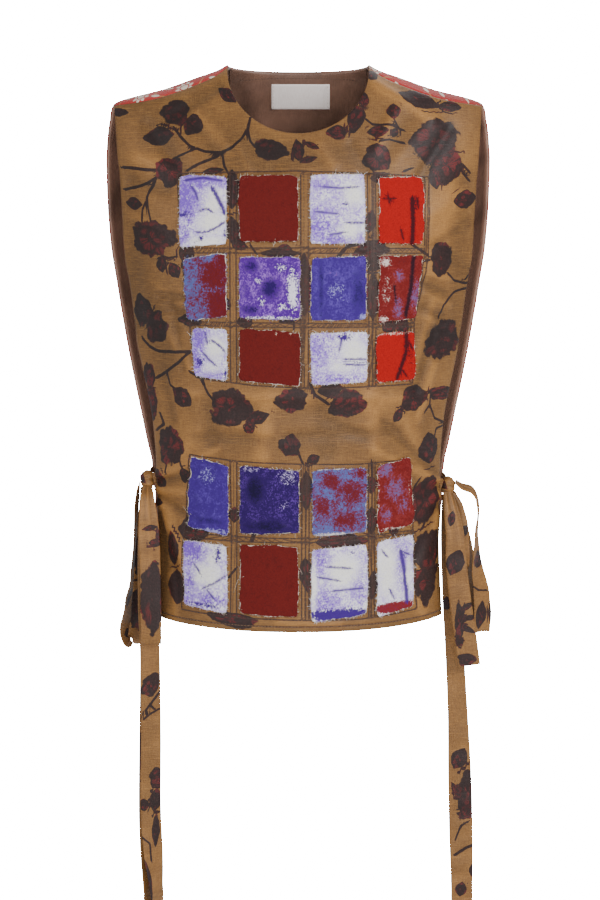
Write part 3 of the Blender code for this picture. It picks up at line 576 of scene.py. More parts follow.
def kept(tree, name, part="Vector"):
    """What a mesh keeps on its points under a name."""
    return Shade(tree, add_node(tree, "ShaderNodeAttribute", attribute_name=name).outputs[part])


def new_group(name, **inputs):
    """An empty shader group, and what comes in at each of its named inputs."""
    group = bpy.data.node_groups.new(name, "ShaderNodeTree")
    for input_name, kind in inputs.items():
        group.interface.new_socket(input_name, in_out="INPUT", socket_type="NodeSocket" + kind)
    given = group.nodes.new("NodeGroupInput")
    return [group] + [Shade(group, given.outputs[input_name]) for input_name in inputs]


def give_out(group, **results):
    """A shader group's named outputs."""
    for result_name in results:
        group.interface.new_socket(result_name, in_out="OUTPUT", socket_type="NodeSocketFloat")
    add_node(group, "NodeGroupOutput", results)
    return group


def use_group(tree, group, **inputs):
    """A shader group placed in a material with its own values: its outputs by name."""
    node = add_node(tree, "ShaderNodeGroup", node_tree=group)
    join(tree, node, inputs)
    return {output.name: Shade(tree, output) for output in node.outputs}


def build_slub_weave():
    """The uneven weave of slub silk: fine threads both ways, and thicker threads that run across for a while."""
    group, place, slub = new_group("slub_weave", Place="Vector", Slub="Float")
    slubs = place.noise(26.0, 0.9, 2.0).ramp(0.52, 0.72) * slub
    threads = place.noise(9.0, 0.5, 2.0) * 0.5 + place.noise(0.55, 14.0, 2.0) * 0.35
    grain = place.noise(1.1, 0.8, 2.0)
    return give_out(group, Height=slubs + threads + grain * 0.25, Slubs=slubs, Tone=threads * 0.7 + grain * 0.4)


def build_rose_print():
    """Printed roses, leaves and stems: which of the cloth they cover, and what of them is crimson or pale."""
    group, flower, look, stem, place = new_group("rose_print", Flower="Vector", Look="Vector", Stem="Vector",
                                                 Place="Vector")
    u, v, guard = flower.axes()
    crimson_share, seed, leaf = look.axes()
    signed, nearest, half_width = stem.axes()
    turn = maths(group, "ARCTAN2", v, u)
    radius = distance_from_middle(u, v)
    wander = place.noise(7.5, 7.5, 1.5, 0.4) - 0.5
    ragged = place.noise(1.8, 1.8, 1.0) - 0.5
    broad, narrow = (turn * 3.0 + seed * 17.0).cosine(), abs((turn * 2.5 + seed * 9.0).cosine())
    rose = radius - (broad * 0.07 + (narrow * 0.1 + 0.88))
    leafed = abs(v) - (1.03 - u * u)
    shape = rose * (1.0 - leaf) + leafed * leaf + wander * 0.5 + ragged * 0.08
    covered = shape.ramp(0.03, -0.03) * guard.ramp(1.36, 1.3)
    stemmed = (abs(signed) - (half_width + wander)).ramp(0.25, -0.15) * nearest.ramp(3.0, 2.6)
    petals = joined(turn * 0.95, radius * 2.6 + wander * 0.8, seed * 37.0)
    cells = add_node(group, "ShaderNodeTexVoronoi", {"Vector": petals, "Scale": 1.0}).outputs
    chance = Shade(group, cells["Color"]).axes()[0]
    chosen = (crimson_share + 0.12) * (1.0 - radius * 0.55) - chance
    strokes = joined(turn * 7.0, radius * 1.6).noise(1.0, 1.0, 2.0) + place.noise(1.0, 1.0, 2.0) * 0.5
    lit_petal = chosen.ramp(-0.12, 0.02) * Shade(group, cells["Distance"]).ramp(0.62, 0.4)
    lit_petal = lit_petal * strokes.ramp(0.6, 0.82)
    return give_out(group, Print=covered.most(stemmed), Crimson=lit_petal * covered,
                    Pale=place.noise(2.2, 3.0, 3.0).ramp(0.45, 0.75))


slub_weave = build_slub_weave()
rose_print = build_rose_print()


def cloth_paint(name, sheen=0.0, specular=0.5):
    """A new material for cloth, with what is the same all over it set on the shader."""
    paint = bpy.data.materials.new(name)
    paint.use_nodes = True
    constants = {"Sheen Weight": sheen, "Sheen Roughness": 0.4, "Specular IOR Level": specular}
    join(paint.node_tree, paint.node_tree.nodes["Principled BSDF"], constants)
    return paint, paint.node_tree


def dress(paint, colour, roughness, height=None, rise=0.0):
    """Gives a cloth's shader its colour, its roughness, and a surface raised by a height of so many mm."""
    inputs = {"Base Color": colour, "Roughness": roughness}
    if height is not None:
        bump = {"Height": height, "Distance": rise * MM, "Strength": 1.0}
        inputs["Normal"] = add_node(paint.node_tree, "ShaderNodeBump", bump).outputs[0]
    join(paint.node_tree, paint.node_tree.nodes["Principled BSDF"], inputs)
    return paint


def printed_silk(name, gold, dark_gold, shade_size, grooves):
    """Gold slub silk with the rose print, painted highlights and shade along its folds, and the grooves of the
    stitching, with a painted shadow in them, where it has any.
    """
    paint, tree = cloth_paint(name, sheen=0.04, specular=0.36)
    place = kept(tree, "cloth_place")
    weave = use_group(tree, slub_weave, Place=place, Slub=0.7)
    roses = use_group(tree, rose_print, Flower=kept(tree, "flower"), Look=kept(tree, "flower_look"),
                      Stem=kept(tree, "stem"), Place=place)
    fold = kept(tree, "fold_tone", "Fac")
    tone, slubs = weave["Tone"], weave["Slubs"]
    ground = mix(place.noise(shade_size, shade_size * 0.7, 4.0).ramp(0.35, 0.68), gold, dark_gold)
    dye = mix(roses["Pale"], (0.015, 0.0045, 0.0055), (0.035, 0.012, 0.013))
    dye = mix(roses["Crimson"], dye, (0.13, 0.011, 0.013))
    dye = mix(tone.ramp(0.55, 0.9, 0.0, 0.35), dye, (0.13, 0.065, 0.045))
    # Painted shade: the print darker in the troughs of the folds.
    dye = mix(fold.ramp(0.1, -0.9, 0.0, 0.6), dye, (0.008, 0.004, 0.004))
    # Painted highlight on the ridges of the folds and painted shade in their troughs, then the weave's light and
    # dark threads, the slubs and the print.
    for share, shade in ((fold.ramp(0.0, 1.0, 0.0, 0.75), lit(gold, 1.9)),
                         (fold.ramp(0.0, -1.0, 0.0, 0.8), lit(gold, 0.28)),
                         (tone.ramp(0.4, 0.85, 0.0, 0.5), (0.62, 0.34, 0.11)),
                         (tone.ramp(0.64, 0.36, 0.0, 0.62), (0.085, 0.036, 0.011)),
                         (slubs.ramp(0.1, 0.7, 0.0, 0.4), lit(gold, 1.7)), (roses["Print"] * 0.98, dye)):
        ground = mix(share, ground, shade)
    height = weave["Height"]
    if grooves:
        signed, nearest, _ = kept(tree, "stitch_line").axes()
        near = abs(signed).ramp(1.05, 0.5) * nearest.ramp(3.2, 2.8)
        # Painted shadow in the grooves of the stitching, broken along them.
        groove_shadow = near * place.noise(2.4, 2.4, 2.0).ramp(0.3, 0.5, 0.45, 1.0)
        ground = mix(groove_shadow * 0.85, ground, (0.045, 0.018, 0.012))
        height = height - abs(signed).ramp(3.0, 0.0) * nearest.ramp(4.5, 3.5) * 2.2
    return dress(paint, ground, slubs.ramp(0.0, 0.7, 0.5, 0.38), height, rise=0.12)


def lining_satin(name, colour, dark_colour):
    """Plain brown lining satin, with faint lines in the weave, painted light towards its sides and painted shade
    and highlights along its folds.
    """
    paint, tree = cloth_paint(name, sheen=0.1, specular=0.45)
    place = kept(tree, "cloth_place")
    fold = kept(tree, "fold_tone", "Fac")
    fine = place.noise(0.6, 9.0, 2.0)
    tone = mix(place.noise(34.0, 26.0, 3.0).ramp(0.35, 0.7), colour, dark_colour)
    # Painted light on the lining towards its sides, and painted shade and highlight in the troughs and on the
    # ridges of its folds.
    painted_side_light = abs(place.axes()[0]).ramp(150.0, 200.0, 0.0, 0.55)
    for share, times in ((fine.ramp(0.4, 0.7, 0.0, 0.3), 1.5), (painted_side_light, 2.1),
                         (fold.ramp(0.0, -1.0, 0.0, 0.85), 0.2), (fold.ramp(0.0, 1.0, 0.0, 0.6), 2.0)):
        tone = mix(share, tone, lit(colour, times))
    return dress(paint, tone, fine.ramp(0.3, 0.7, 0.36, 0.48), fine, rise=0.05)


STITCH_LINES = [  # the quilting round and between the patches, as broken lines of places across and levels
    [(-118, -111), (-60, -110), (0, -109), (60, -111), (128, -114)],
    [(128, -114), (127, -192), (123, -211), (113, -254), (112, -316)],
    [(124, -114), (123, -192), (118.5, -214), (109.5, -255), (109, -313)],
    [(112, -316), (60, -317), (13, -318), (-45, -315), (-99, -309)],
    [(-99, -309), (-105, -262), (-112, -200), (-118, -111)],
    [(-106, -386), (-60, -390), (0, -392), (60, -393), (106, -391)],
    [(106, -391), (113, -440), (117, -542)],
    [(117, -542), (60, -545), (0, -544), (-60, -543), (-116, -542)],
    [(-116, -542), (-113, -470), (-106, -386)],
    [(-66, -112), (-65.5, -200), (-65, -312)], [(-59.5, -112), (-59.5, -210), (-59, -313)],
    [(2.5, -112), (3, -318)], [(5.5, -113), (6, -318)], [(9.5, -113), (10, -318)],
    [(67, -113), (68, -240), (68.5, -317)], [(71.5, -114), (71.5, -240), (72, -316)],
    [(75, -114), (75, -316)],
    [(-112, -183.5), (0, -183), (122, -184)], [(-112, -188), (0, -188), (124, -188.5)],
    [(-105, -254.5), (0, -255), (112, -256)], [(-104, -258), (0, -259), (112, -259.5)],
    [(-66, -391), (-65, -470), (-66, -543)], [(-59.5, -391), (-60, -543)],
    [(3, -392), (3.5, -470), (3.5, -544)], [(7, -392), (7.5, -544)], [(10.5, -393), (11, -544)],
    [(68.5, -393), (69, -544)], [(72, -393), (72, -544)], [(75, -392), (75, -544)],
    [(-111, -464), (0, -465), (114, -463)], [(-112, -469), (0, -469), (115, -466)],
]
PAINTED_SILK_LIGHT = (  # painted light and shade on the silk: from x and drop, to x and drop, spread, how much lighter or darker it is painted
    (148, 112, 136, 190, 16, 1.05), (158, 66, 168, 100, 12, 0.35), (-168, 66, -160, 120, 10, 0.3),
    (-60, 90, 50, 94, 15, -0.6), (-156, 50, -74, 86, 26, -0.42),
    (-76, 60, -76, 92, 14, -0.3), (72, 56, 112, 92, 18, -0.3), (-140, 150, -126, 215, 12, -0.3),
    (-138, 238, -126, 292, 11, -0.75), (-120, 226, -108, 262, 9, -0.45),
    (132, 226, 112, 300, 14, -0.65), (134, 200, 150, 226, 10, 0.4), (-124, 330, -104, 380, 12, 0.3),
    (-60, 334, 90, 336, 9, 0.35), (-80, 374, 90, 376, 9, -0.35), (124, 350, 134, 404, 9, -0.5),
    (-132, 380, -136, 420, 9, -0.4), (-130, 440, -124, 540, 6, 0.45), (128, 430, 124, 470, 8, -0.5),
    (134, 480, 126, 540, 8, 0.3), (-118, 553, 118, 553, 3, -0.5), (-96, 40, -120, 80, 14, -0.25),
    (100, 44, 124, 76, 14, -0.3), (84, 30, 70, 60, 8, 0.35), (-88, 30, -74, 60, 8, 0.25),
    (-150, 36, -60, 100, 40, -0.4), (-40, 104, 60, 100, 22, -0.36), (80, 60, 130, 96, 30, -0.28),
    (-150, 200, -136, 300, 20, -0.45),
)
HEM_LINE = [(-143, -550.5), (-60, -550.5), (60, -550.5), (143, -550.5)]

front_edge = smooth_curve(*zip(*FRONT_EDGE))
all_front_folds = FRONT_FOLDS + FRONT_CREASES
columns = []
places = column_places(SHOULDER_COLUMNS, NECK_COLUMNS)
for i, (start, value, hand) in enumerate(places):
    if start == "seam":
        x, drop = seam_point(value, hand)
    else:
        x = NECK_HALF_WIDTH * math.sin(value)
        drop = SEAM_END_BELOW_RIDGE + (FRONT_NECK_DROP - SEAM_END_BELOW_RIDGE) * math.cos(value)
    hem_share = 2 * i / (len(places) - 1) - 1
    columns.append(spread_evenly(column_down(x, drop, hem_share, front_edge, FRONT), FRONT_ROWS))
front_form = np.stack(columns)
front_outer = moved_out(front_form, all_front_folds)
front_inner = moved_out(front_form, all_front_folds, -FRONT_WALL)
points, faces, outer_faces, sources = shell(front_outer, front_inner, bulge=0.5)
silk = printed_silk("printed_silk", (0.258, 0.116, 0.028), (0.165, 0.072, 0.018), shade_size=46.0, grooves=True)
brown_satin = lining_satin("brown_lining", (0.2, 0.105, 0.072), (0.125, 0.066, 0.045))
front_panel = add_mesh("front_panel_silk", points, faces, [silk, brown_satin], "front_panel")
front_panel.data.polygons.foreach_set("material_index", (np.arange(len(faces)) >= outer_faces).astype(np.int32))
flat_x = front_form[..., 0].ravel()[sources]
flat_z = front_form[..., 2].ravel()[sources]
add_print(front_panel, across_cloth(flat_x, flat_z, FRONT), flat_z, PRINTED_FLOWERS, PRINTED_STEMS)
signed, nearest, _ = line_distances(flat_x, flat_z, STITCH_LINES + [HEM_LINE])
# Painted light and shade on the silk: darker in the troughs of the folds and creases, lighter on their ridges,
# with the patches of painted light and shade listed above.
tone = sum(share * fold_rise(flat_x, flat_z, folds)
           for share, folds in ((0.7, FRONT_CREASES), (0.3, FRONT_FOLDS), (1.1, PAINTED_SILK_LIGHT)))
keep_on_points(front_panel, stitch_line=(signed, nearest, 0 * nearest), fold_tone=tone)


# Sewing of the front: dark quilting thread round and between the patches, gold thread along the hem, and a loose
# end of it that hangs below. Each stitch is a short round thread that dips into the cloth at both ends.
STITCH_LENGTH = 2.5
STITCH_GAP = 0.7
STITCH_WAVER = 0.16
STITCH_BENDS = np.array([-0.5, -0.3, 0.0, 0.3, 0.5])
STITCH_HEIGHTS = np.array([-0.5, 0.12, 0.3, 0.12, -0.5])
STITCH_RISE = 2.4
THREAD_RADIUS = 0.26
THREAD_SIDES = 5
thread_draws = np.random.default_rng(7)


def panel_point(x, drop, side, folds, lift=0.0):
    """Points of a panel's outer face at places across and levels, or points moved straight out of it."""
    x, drop = np.broadcast_arrays(np.asarray(x, float), np.asarray(drop, float))
    on_form = np.stack([x, form_depth(x, -drop, side), -drop], axis=-1)
    return moved_out(on_form, folds, lift)


def over_front(x, z, lift):
    """Points over the front panel's face."""
    return panel_point(x, -z, FRONT, all_front_folds, lift)


def ring_round(path, side, up, radius, turns):
    """Rings of points round a thread's path, at turns from its side towards its top."""
    side, up = side[..., None, :], up[..., None, :]
    return path[..., None, :] + radius * (side * np.cos(turns) + up * np.sin(turns))


def tube_faces(number):
    """Faces round tubes, from the numbers of their points ring by ring."""
    following = np.roll(number, -1, axis=-1)
    faces = (number[..., :-1, :], following[..., :-1, :], following[..., 1:, :], number[..., 1:, :])
    return np.stack(faces, axis=-1).reshape(-1, 4)


def add_tubes(name, tubes, paint):
    """A mesh of thin threads, each a run of rings of points."""
    number = np.arange(tubes.size // 3).reshape(tubes.shape[:-1])
    return add_mesh(name, tubes.reshape(-1, 3), tube_faces(number), [paint])


def sew(name, paint, surface, lines, length=STITCH_LENGTH, gap=STITCH_GAP, radius=THREAD_RADIUS):
    """Stitches of thread along broken lines over a surface."""
    stitches = []
    turns = 2 * math.pi * np.arange(THREAD_SIDES)[:, None] / THREAD_SIDES
    for line in lines:
        line = np.array(line, float)
        lengths = np.concatenate([[0.0], np.cumsum(np.linalg.norm(np.diff(line, axis=0), axis=1))])
        count = max(int(lengths[-1] / (length + gap)), 1)
        for k in range(count):
            middle = (k + 0.5) * lengths[-1] / count
            at = np.clip(middle + STITCH_BENDS * length * thread_draws.uniform(0.85, 1.05), 0.0, lengths[-1])
            x = np.interp(at, lengths, line[:, 0]) + thread_draws.uniform(-STITCH_WAVER, STITCH_WAVER)
            z = np.interp(at, lengths, line[:, 1]) + thread_draws.uniform(-STITCH_WAVER, STITCH_WAVER)
            path = surface(x, z, STITCH_HEIGHTS * radius * STITCH_RISE)
            along = np.gradient(path, axis=0)
            along /= np.linalg.norm(along, axis=1, keepdims=True)
            side = np.cross(along, (0.0, -1.0, 0.0) if abs(along[2][1]) < 0.8 else (0.0, 0.0, 1.0))
            side /= np.linalg.norm(side, axis=1, keepdims=True)
            up = np.cross(side, along)
            stitches.append(ring_round(path, side, up, radius, turns))
    return add_tubes(name, np.array(stitches), paint)


def thread_paint(name, colour, dark_colour):
    """Sewing thread: a soft sheen and small changes of colour from stitch to stitch."""
    paint, tree = cloth_paint(name, sheen=0.3)
    where = add_node(tree, "ShaderNodeTexCoord").outputs["Object"]
    patchy = Shade(tree, add_node(tree, "ShaderNodeTexNoise", {"Vector": where, "Scale": 700.0}).outputs["Fac"])
    twist = add_node(tree, "ShaderNodeTexWave", {"Vector": where, "Scale": 900.0, "Distortion": 1.0},
                     bands_direction="DIAGONAL").outputs["Fac"]
    return dress(paint, mix(patchy.ramp(0.35, 0.65), colour, dark_colour), 0.55, twist, rise=0.05)


gold_thread = thread_paint("gold_thread", (0.2, 0.11, 0.045), (0.12, 0.06, 0.025))
brown_thread = thread_paint("brown_thread", (0.03, 0.015, 0.01), (0.016, 0.008, 0.007))
quilting = sew("quilting_stitches", brown_thread, over_front, STITCH_LINES)
hem_stitches = sew("hem_stitches", gold_thread, over_front, [HEM_LINE])
loose_thread = sew("loose_hem_thread", gold_thread, over_front,
                   [[(-3.6, -553.5), (-2.4, -556.5), (-3.4, -559.8)]], length=7.0, gap=0.0)


# Back panel: one piece of red brocade with woven cream flowers. It comes over the shoulders to the seams, hangs
# from them, and its open side edges come round to the sides, where the ties draw it in at the waist.
BACK_NECK_DROP = 4.5
SEAM_GAP = 0.4
BACK_WALL = 0.9
BACK_ROWS = 190
BACK_SHOULDER_COLUMNS = 40
BACK_NECK_COLUMNS = 52
BACK_EDGE = (  # drop, half width
    (39, 184), (46, 189), (56, 192), (76, 194.5), (97, 195.6), (137, 194.6), (178, 191.5), (219, 185.4),
    (260, 178.7), (301, 171.4), (342, 163.2), (383, 154.7), (404, 150.1), (470, 146), (552, 140),
)
BACK_FLARE = 7.5
BACK_TURN_BELOW_RIDGE = 10.0
BACK_OVER_STEPS = 25
BACK_FOLDS = (  # from x and drop, to x and drop, spread, rise
    (-120, 70, -95, 150, 12, 2.5), (118, 75, 98, 160, 12, 2.5), (-130, 400, -80, 340, 12, 3.0),
    (130, 405, 85, 335, 12, 3.0), (-40, 200, -30, 420, 16, 2.5), (45, 230, 38, 450, 16, -2.5),
    (-90, 440, -80, 540, 14, 3.0), (92, 430, 84, 540, 14, 3.0),
)
BACK_CREASES = (
    (-146, 412, -90, 372, 4.5, 1.0), (-146, 418, -84, 404, 4.5, -1.0), (-146, 426, -96, 446, 5.0, 1.0),
    (-145, 436, -112, 500, 5.5, -1.0), (146, 414, 88, 376, 4.5, -1.0), (146, 420, 80, 410, 4.5, 1.0),
    (146, 428, 92, 450, 5.0, -1.0), (145, 438, 110, 510, 5.5, 1.0), (-30, 60, -44, 150, 9.0, 1.0),
    (28, 58, 40, 160, 9.0, -0.9), (-160, 120, -120, 170, 7.0, 1.0), (158, 118, 118, 176, 7.0, -1.0),
    (-20, 420, -12, 540, 9.0, 1.2), (24, 430, 30, 545, 9.0, -1.2), (-60, 300, -50, 380, 7.0, -0.9),
    (66, 290, 56, 370, 7.0, 0.9), (-150, 250, -110, 290, 7.0, 0.8), (148, 246, 112, 296, 7.0, -0.8),
)


def back_columns(rows, shoulder_columns, neck_columns):
    """The back's points on the form: up from the seam, over the ridge and down, column by column."""
    grid = []
    places = column_places(shoulder_columns, neck_columns)
    for i, (start, value, hand) in enumerate(places):
        hem_share = 2 * i / (len(places) - 1) - 1
        if start == "seam":
            x, drop = seam_point(value, hand, SEAM_GAP)
            seam_y = float(form_depth(np.float64(x), -drop, FRONT))
            turn_x = x + hand * BACK_FLARE * value ** 6
            turn_drop = ridge_drop(turn_x) + BACK_TURN_BELOW_RIDGE
            turn_y = min(0.45 * float(form_back_depth(turn_drop)), float(form_depth(turn_x, -turn_drop, BACK)))
            t = np.linspace(0.0, 1.0, BACK_OVER_STEPS)
            steps = seam_y + (turn_y - seam_y) * t
            across = x + (turn_x - x) * t * t
            low = np.array([ridge_drop(place) for place in across])
            high = low + 120.0
            for _ in range(40):
                middle = (low + high) / 2
                depth = np.where(steps > 0, form_depth(across, -middle, BACK), -form_depth(across, -middle, FRONT))
                under = depth < np.abs(steps)
                low, high = np.where(under, middle, low), np.where(under, high, middle)
            over = np.stack([across, steps, -middle], axis=1)
            down = column_down(turn_x, middle[-1], hem_share, back_edge, BACK)
            chain = np.concatenate([over[:-1], down])
        else:
            x = NECK_HALF_WIDTH * math.sin(value)
            chain = column_down(x, BACK_NECK_DROP * math.cos(value), hem_share, back_edge, BACK)
        grid.append(spread_evenly(chain, rows))
    return np.stack(grid)


def grid_lengths(grid):
    """Distances along a grid's rows from its middle column, and down its columns from the hem."""
    across = np.linalg.norm(np.diff(grid, axis=0), axis=-1)
    across = np.concatenate([np.zeros((1, grid.shape[1])), np.cumsum(across, axis=0)])
    across = across - across[grid.shape[0] // 2]
    down = np.linalg.norm(np.diff(grid, axis=1), axis=-1)
    down = np.concatenate([np.zeros((grid.shape[0], 1)), np.cumsum(down, axis=1)], axis=1)
    return across, down - down[:, -1:]


def build_brocade_weave():
    """A half-drop pattern of woven rosettes and leaf sprigs: where the cream weft floats over the red ground."""
    group, place, width, height = new_group("brocade_weave", Place="Vector", Width="Float", Height="Float")
    place_x, place_y, _ = place.axes()
    across = place_x / width
    column = maths(group, "FLOOR", across)
    level = place_y / height + maths(group, "FLOORED_MODULO", column, 2.0) * 0.5
    x = maths(group, "FRACT", across) - 0.5
    y = maths(group, "FRACT", level) - 0.5
    radius = distance_from_middle(x, y) + (place.noise(2.0, 2.0, 2.0) - 0.5) * 0.05
    petals = abs((maths(group, "ARCTAN2", y, x) * 4.0).cosine())
    rosette = petals * 0.11 + 0.13 - radius
    ring = 0.022 - abs(radius - 0.11)
    sprig_x, sprig_y = abs(x) - 0.31, abs(y) - 0.3
    lean, cross = sprig_x + sprig_y, sprig_x - sprig_y
    sprig = 0.016 - (lean * lean * 0.5 + cross * cross * 3.0)
    curl = 0.03 - abs(x + maths(group, "SINE", y * 6.283) * 0.18 - 0.5)
    cream = rosette.ramp(0.0, 0.02).most(sprig.ramp(0.0, 0.004)) - ring.ramp(0.0, 0.012)
    ribs = add_node(group, "ShaderNodeTexWave", {"Vector": place, "Scale": 0.42, "Distortion": 0.6, "Detail": 1.0},
                    bands_direction="Y").outputs["Fac"]
    return give_out(group, Cream=cream.most(0.0), Weave=ribs,
                    Gold=(0.07 - radius).ramp(0.0, 0.015).most(curl.ramp(0.0, 0.01)))


brocade, tree = cloth_paint("red_brocade", sheen=0.15)
place = kept(tree, "cloth_place")
woven = use_group(tree, build_brocade_weave(), Place=place, Width=44.0, Height=48.0)
colour = mix(place.noise(40.0, 40.0, 3.0).ramp(0.35, 0.7), (0.5, 0.02, 0.012), (0.36, 0.014, 0.01))
for share, shade in ((woven["Gold"], (0.5, 0.2, 0.06)), (woven["Cream"], (0.78, 0.68, 0.55)),
                     (woven["Weave"].ramp(0.3, 0.8, 0.0, 0.25), (0.12, 0.02, 0.015))):
    colour = mix(share, colour, shade)
dress(brocade, colour, woven["Cream"].ramp(0.0, 1.0, 0.6, 0.4),
      woven["Weave"] * 0.4 + woven["Cream"], rise=0.2)

back_edge = smooth_curve(*zip(*BACK_EDGE))
all_back_folds = BACK_FOLDS + BACK_CREASES
back_form = back_columns(BACK_ROWS, BACK_SHOULDER_COLUMNS, BACK_NECK_COLUMNS)
points, faces, outer_faces, sources = shell(
    moved_out(back_form, all_back_folds), moved_out(back_form, all_back_folds, -BACK_WALL), bulge=0.2)
back_panel = add_mesh("back_panel_brocade", points, faces, [brocade], "back_panel")
across, down = grid_lengths(back_form)
keep_on_points(back_panel, sources, cloth_place=(across, -down, 0 * down))


# Back lining: plain brown satin that backs the whole brocade, turned in along the neck and the side edges and sewn
# round the neck by one line of stitches. It shows through the neck and beside each armhole.
LINING_DROP_IN = 1.3
LINING_WALL = 0.9
LINING_FOLDS = (
    (-52, 24, -60, 80, 7.0, -1.2), (-34, 40, -20, 92, 8.0, 0.9), (40, 46, 30, 96, 7.0, -0.9),
    (56, 22, 50, 80, 6.0, 0.9), (2, 52, 6, 100, 7.0, -0.8), (-58, 60, 40, 70, 9.0, -0.9),
)
PAINTED_LINING_LIGHT = (  # painted shade and light on the lining: from place across and drop, to place across and drop, spread, how much darker or lighter it is painted
    (-197, 70, -184, 84, 6, -0.9), (-196, 152, -184, 124, 8, -1.0), (-190, 218, -180, 236, 8, -0.5),
    (-195, 100, -186, 104, 7, 0.5), (-192, 180, -184, 190, 9, 0.5), (197, 58, 186, 62, 5, -0.8),
    (197, 90, 185, 98, 6, -0.75), (197, 144, 184, 158, 7, -0.9), (196, 112, 186, 120, 8, 0.5),
    (194, 186, 184, 196, 9, 0.4), (-66, 14, -44, 70, 9, -0.5), (66, 20, 58, 60, 8, -0.45),
    (20, 46, 12, 70, 7, -0.3),
)
LINING_SINK = 1.6  # its creases only fall away from the wearer, so they start this far under the plain surface
lining_sunk = np.minimum(fold_rise(back_form[..., 0], back_form[..., 2], LINING_FOLDS) - LINING_SINK, 0.0)
lining_outer = moved_out(back_form, all_back_folds, -LINING_DROP_IN)
lining_inner = moved_out(back_form, all_back_folds, -LINING_DROP_IN - LINING_WALL) + (
    form_normals(back_form) * lining_sunk[..., None])
points, faces, outer_faces, sources = shell(lining_outer, lining_inner, bulge=0.2)
back_lining = add_mesh("back_lining_satin", points, faces, [brown_satin], "back_lining")
# Painted shade in the lining's creases and on its side strips, and painted light between them.
tone = sum(share * fold_rise(back_form[..., 0], back_form[..., 2], folds)
           for share, folds in ((0.35, LINING_FOLDS), (0.55, PAINTED_LINING_LIGHT)))
keep_on_points(back_lining, sources, cloth_place=(across, -down, 0 * down), fold_tone=tone)


def over_lining(x, z, lift):
    """Points over the lining's inner face."""
    sunk = np.minimum(fold_rise(x, z, LINING_FOLDS) - LINING_SINK, 0.0)
    return panel_point(x, -z, BACK, all_back_folds, sunk - LINING_DROP_IN - LINING_WALL - lift)


lining_thread = thread_paint("lining_thread", (0.12, 0.065, 0.045), (0.08, 0.042, 0.03))
neck_stitches = sew("neck_stitches", lining_thread, over_lining,
                    [[(-62, -11.5), (-40, -10.2), (0, -9.8), (40, -10.2), (62, -11.5)]])


# Neck label: a woven cream tape, turned under at both ends and sewn to the lining below the back neck. It is bare.
LABEL_LEFT, LABEL_RIGHT, LABEL_TOP, LABEL_FOOT = -27.5, 32.5, 16.0, 40.0
LABEL_LIFT = -3.3
LABEL_WALL = 0.7
LABEL_STEP = 1.4
LABEL_TURNING = 5.0
LABEL_TURNING_WALL = 0.35


def over_label(x, z, lift):
    """Points over the label's face."""
    return panel_point(x, -z, BACK, all_back_folds, LABEL_LIFT - LABEL_WALL - LABEL_TURNING_WALL - lift)


label_paint, tree = cloth_paint("woven_label", sheen=0.2)
rib = kept(tree, "cloth_place").noise(0.35, 6.0, 2.0)
dress(label_paint, mix(rib.ramp(0.35, 0.7), (0.98, 0.9, 0.86), (0.85, 0.74, 0.7)), 0.7, rib, rise=0.12)
x, drop = np.meshgrid(
    np.linspace(LABEL_LEFT, LABEL_RIGHT, int((LABEL_RIGHT - LABEL_LEFT) / LABEL_STEP)),
    np.linspace(LABEL_TOP, LABEL_FOOT, int((LABEL_FOOT - LABEL_TOP) / LABEL_STEP)), indexing="ij")
to_end = np.minimum(x - LABEL_LEFT, LABEL_RIGHT - x)
doubled = LABEL_TURNING_WALL / (1 + np.exp((to_end - LABEL_TURNING) / 0.35))
points, faces, outer_faces, sources = shell(
    panel_point(x, drop, BACK, all_back_folds, LABEL_LIFT),
    panel_point(x, drop, BACK, all_back_folds, LABEL_LIFT - LABEL_WALL - doubled), bulge=0.3)
neck_label = add_mesh("neck_label_tape", points, faces, [label_paint], "neck_label")
keep_on_points(neck_label, sources, cloth_place=(x, drop, 0 * x))
label_thread = thread_paint("label_thread", (0.62, 0.52, 0.46), (0.45, 0.36, 0.3))
label_stitches = sew("label_stitches", label_thread, over_label,
                     [[(end, -LABEL_TOP - 1.0), (end, 1.0 - LABEL_FOOT)]
                      for end in (LABEL_LEFT + 1.6, LABEL_RIGHT - 1.6)], length=2.0, gap=0.8, radius=0.18)


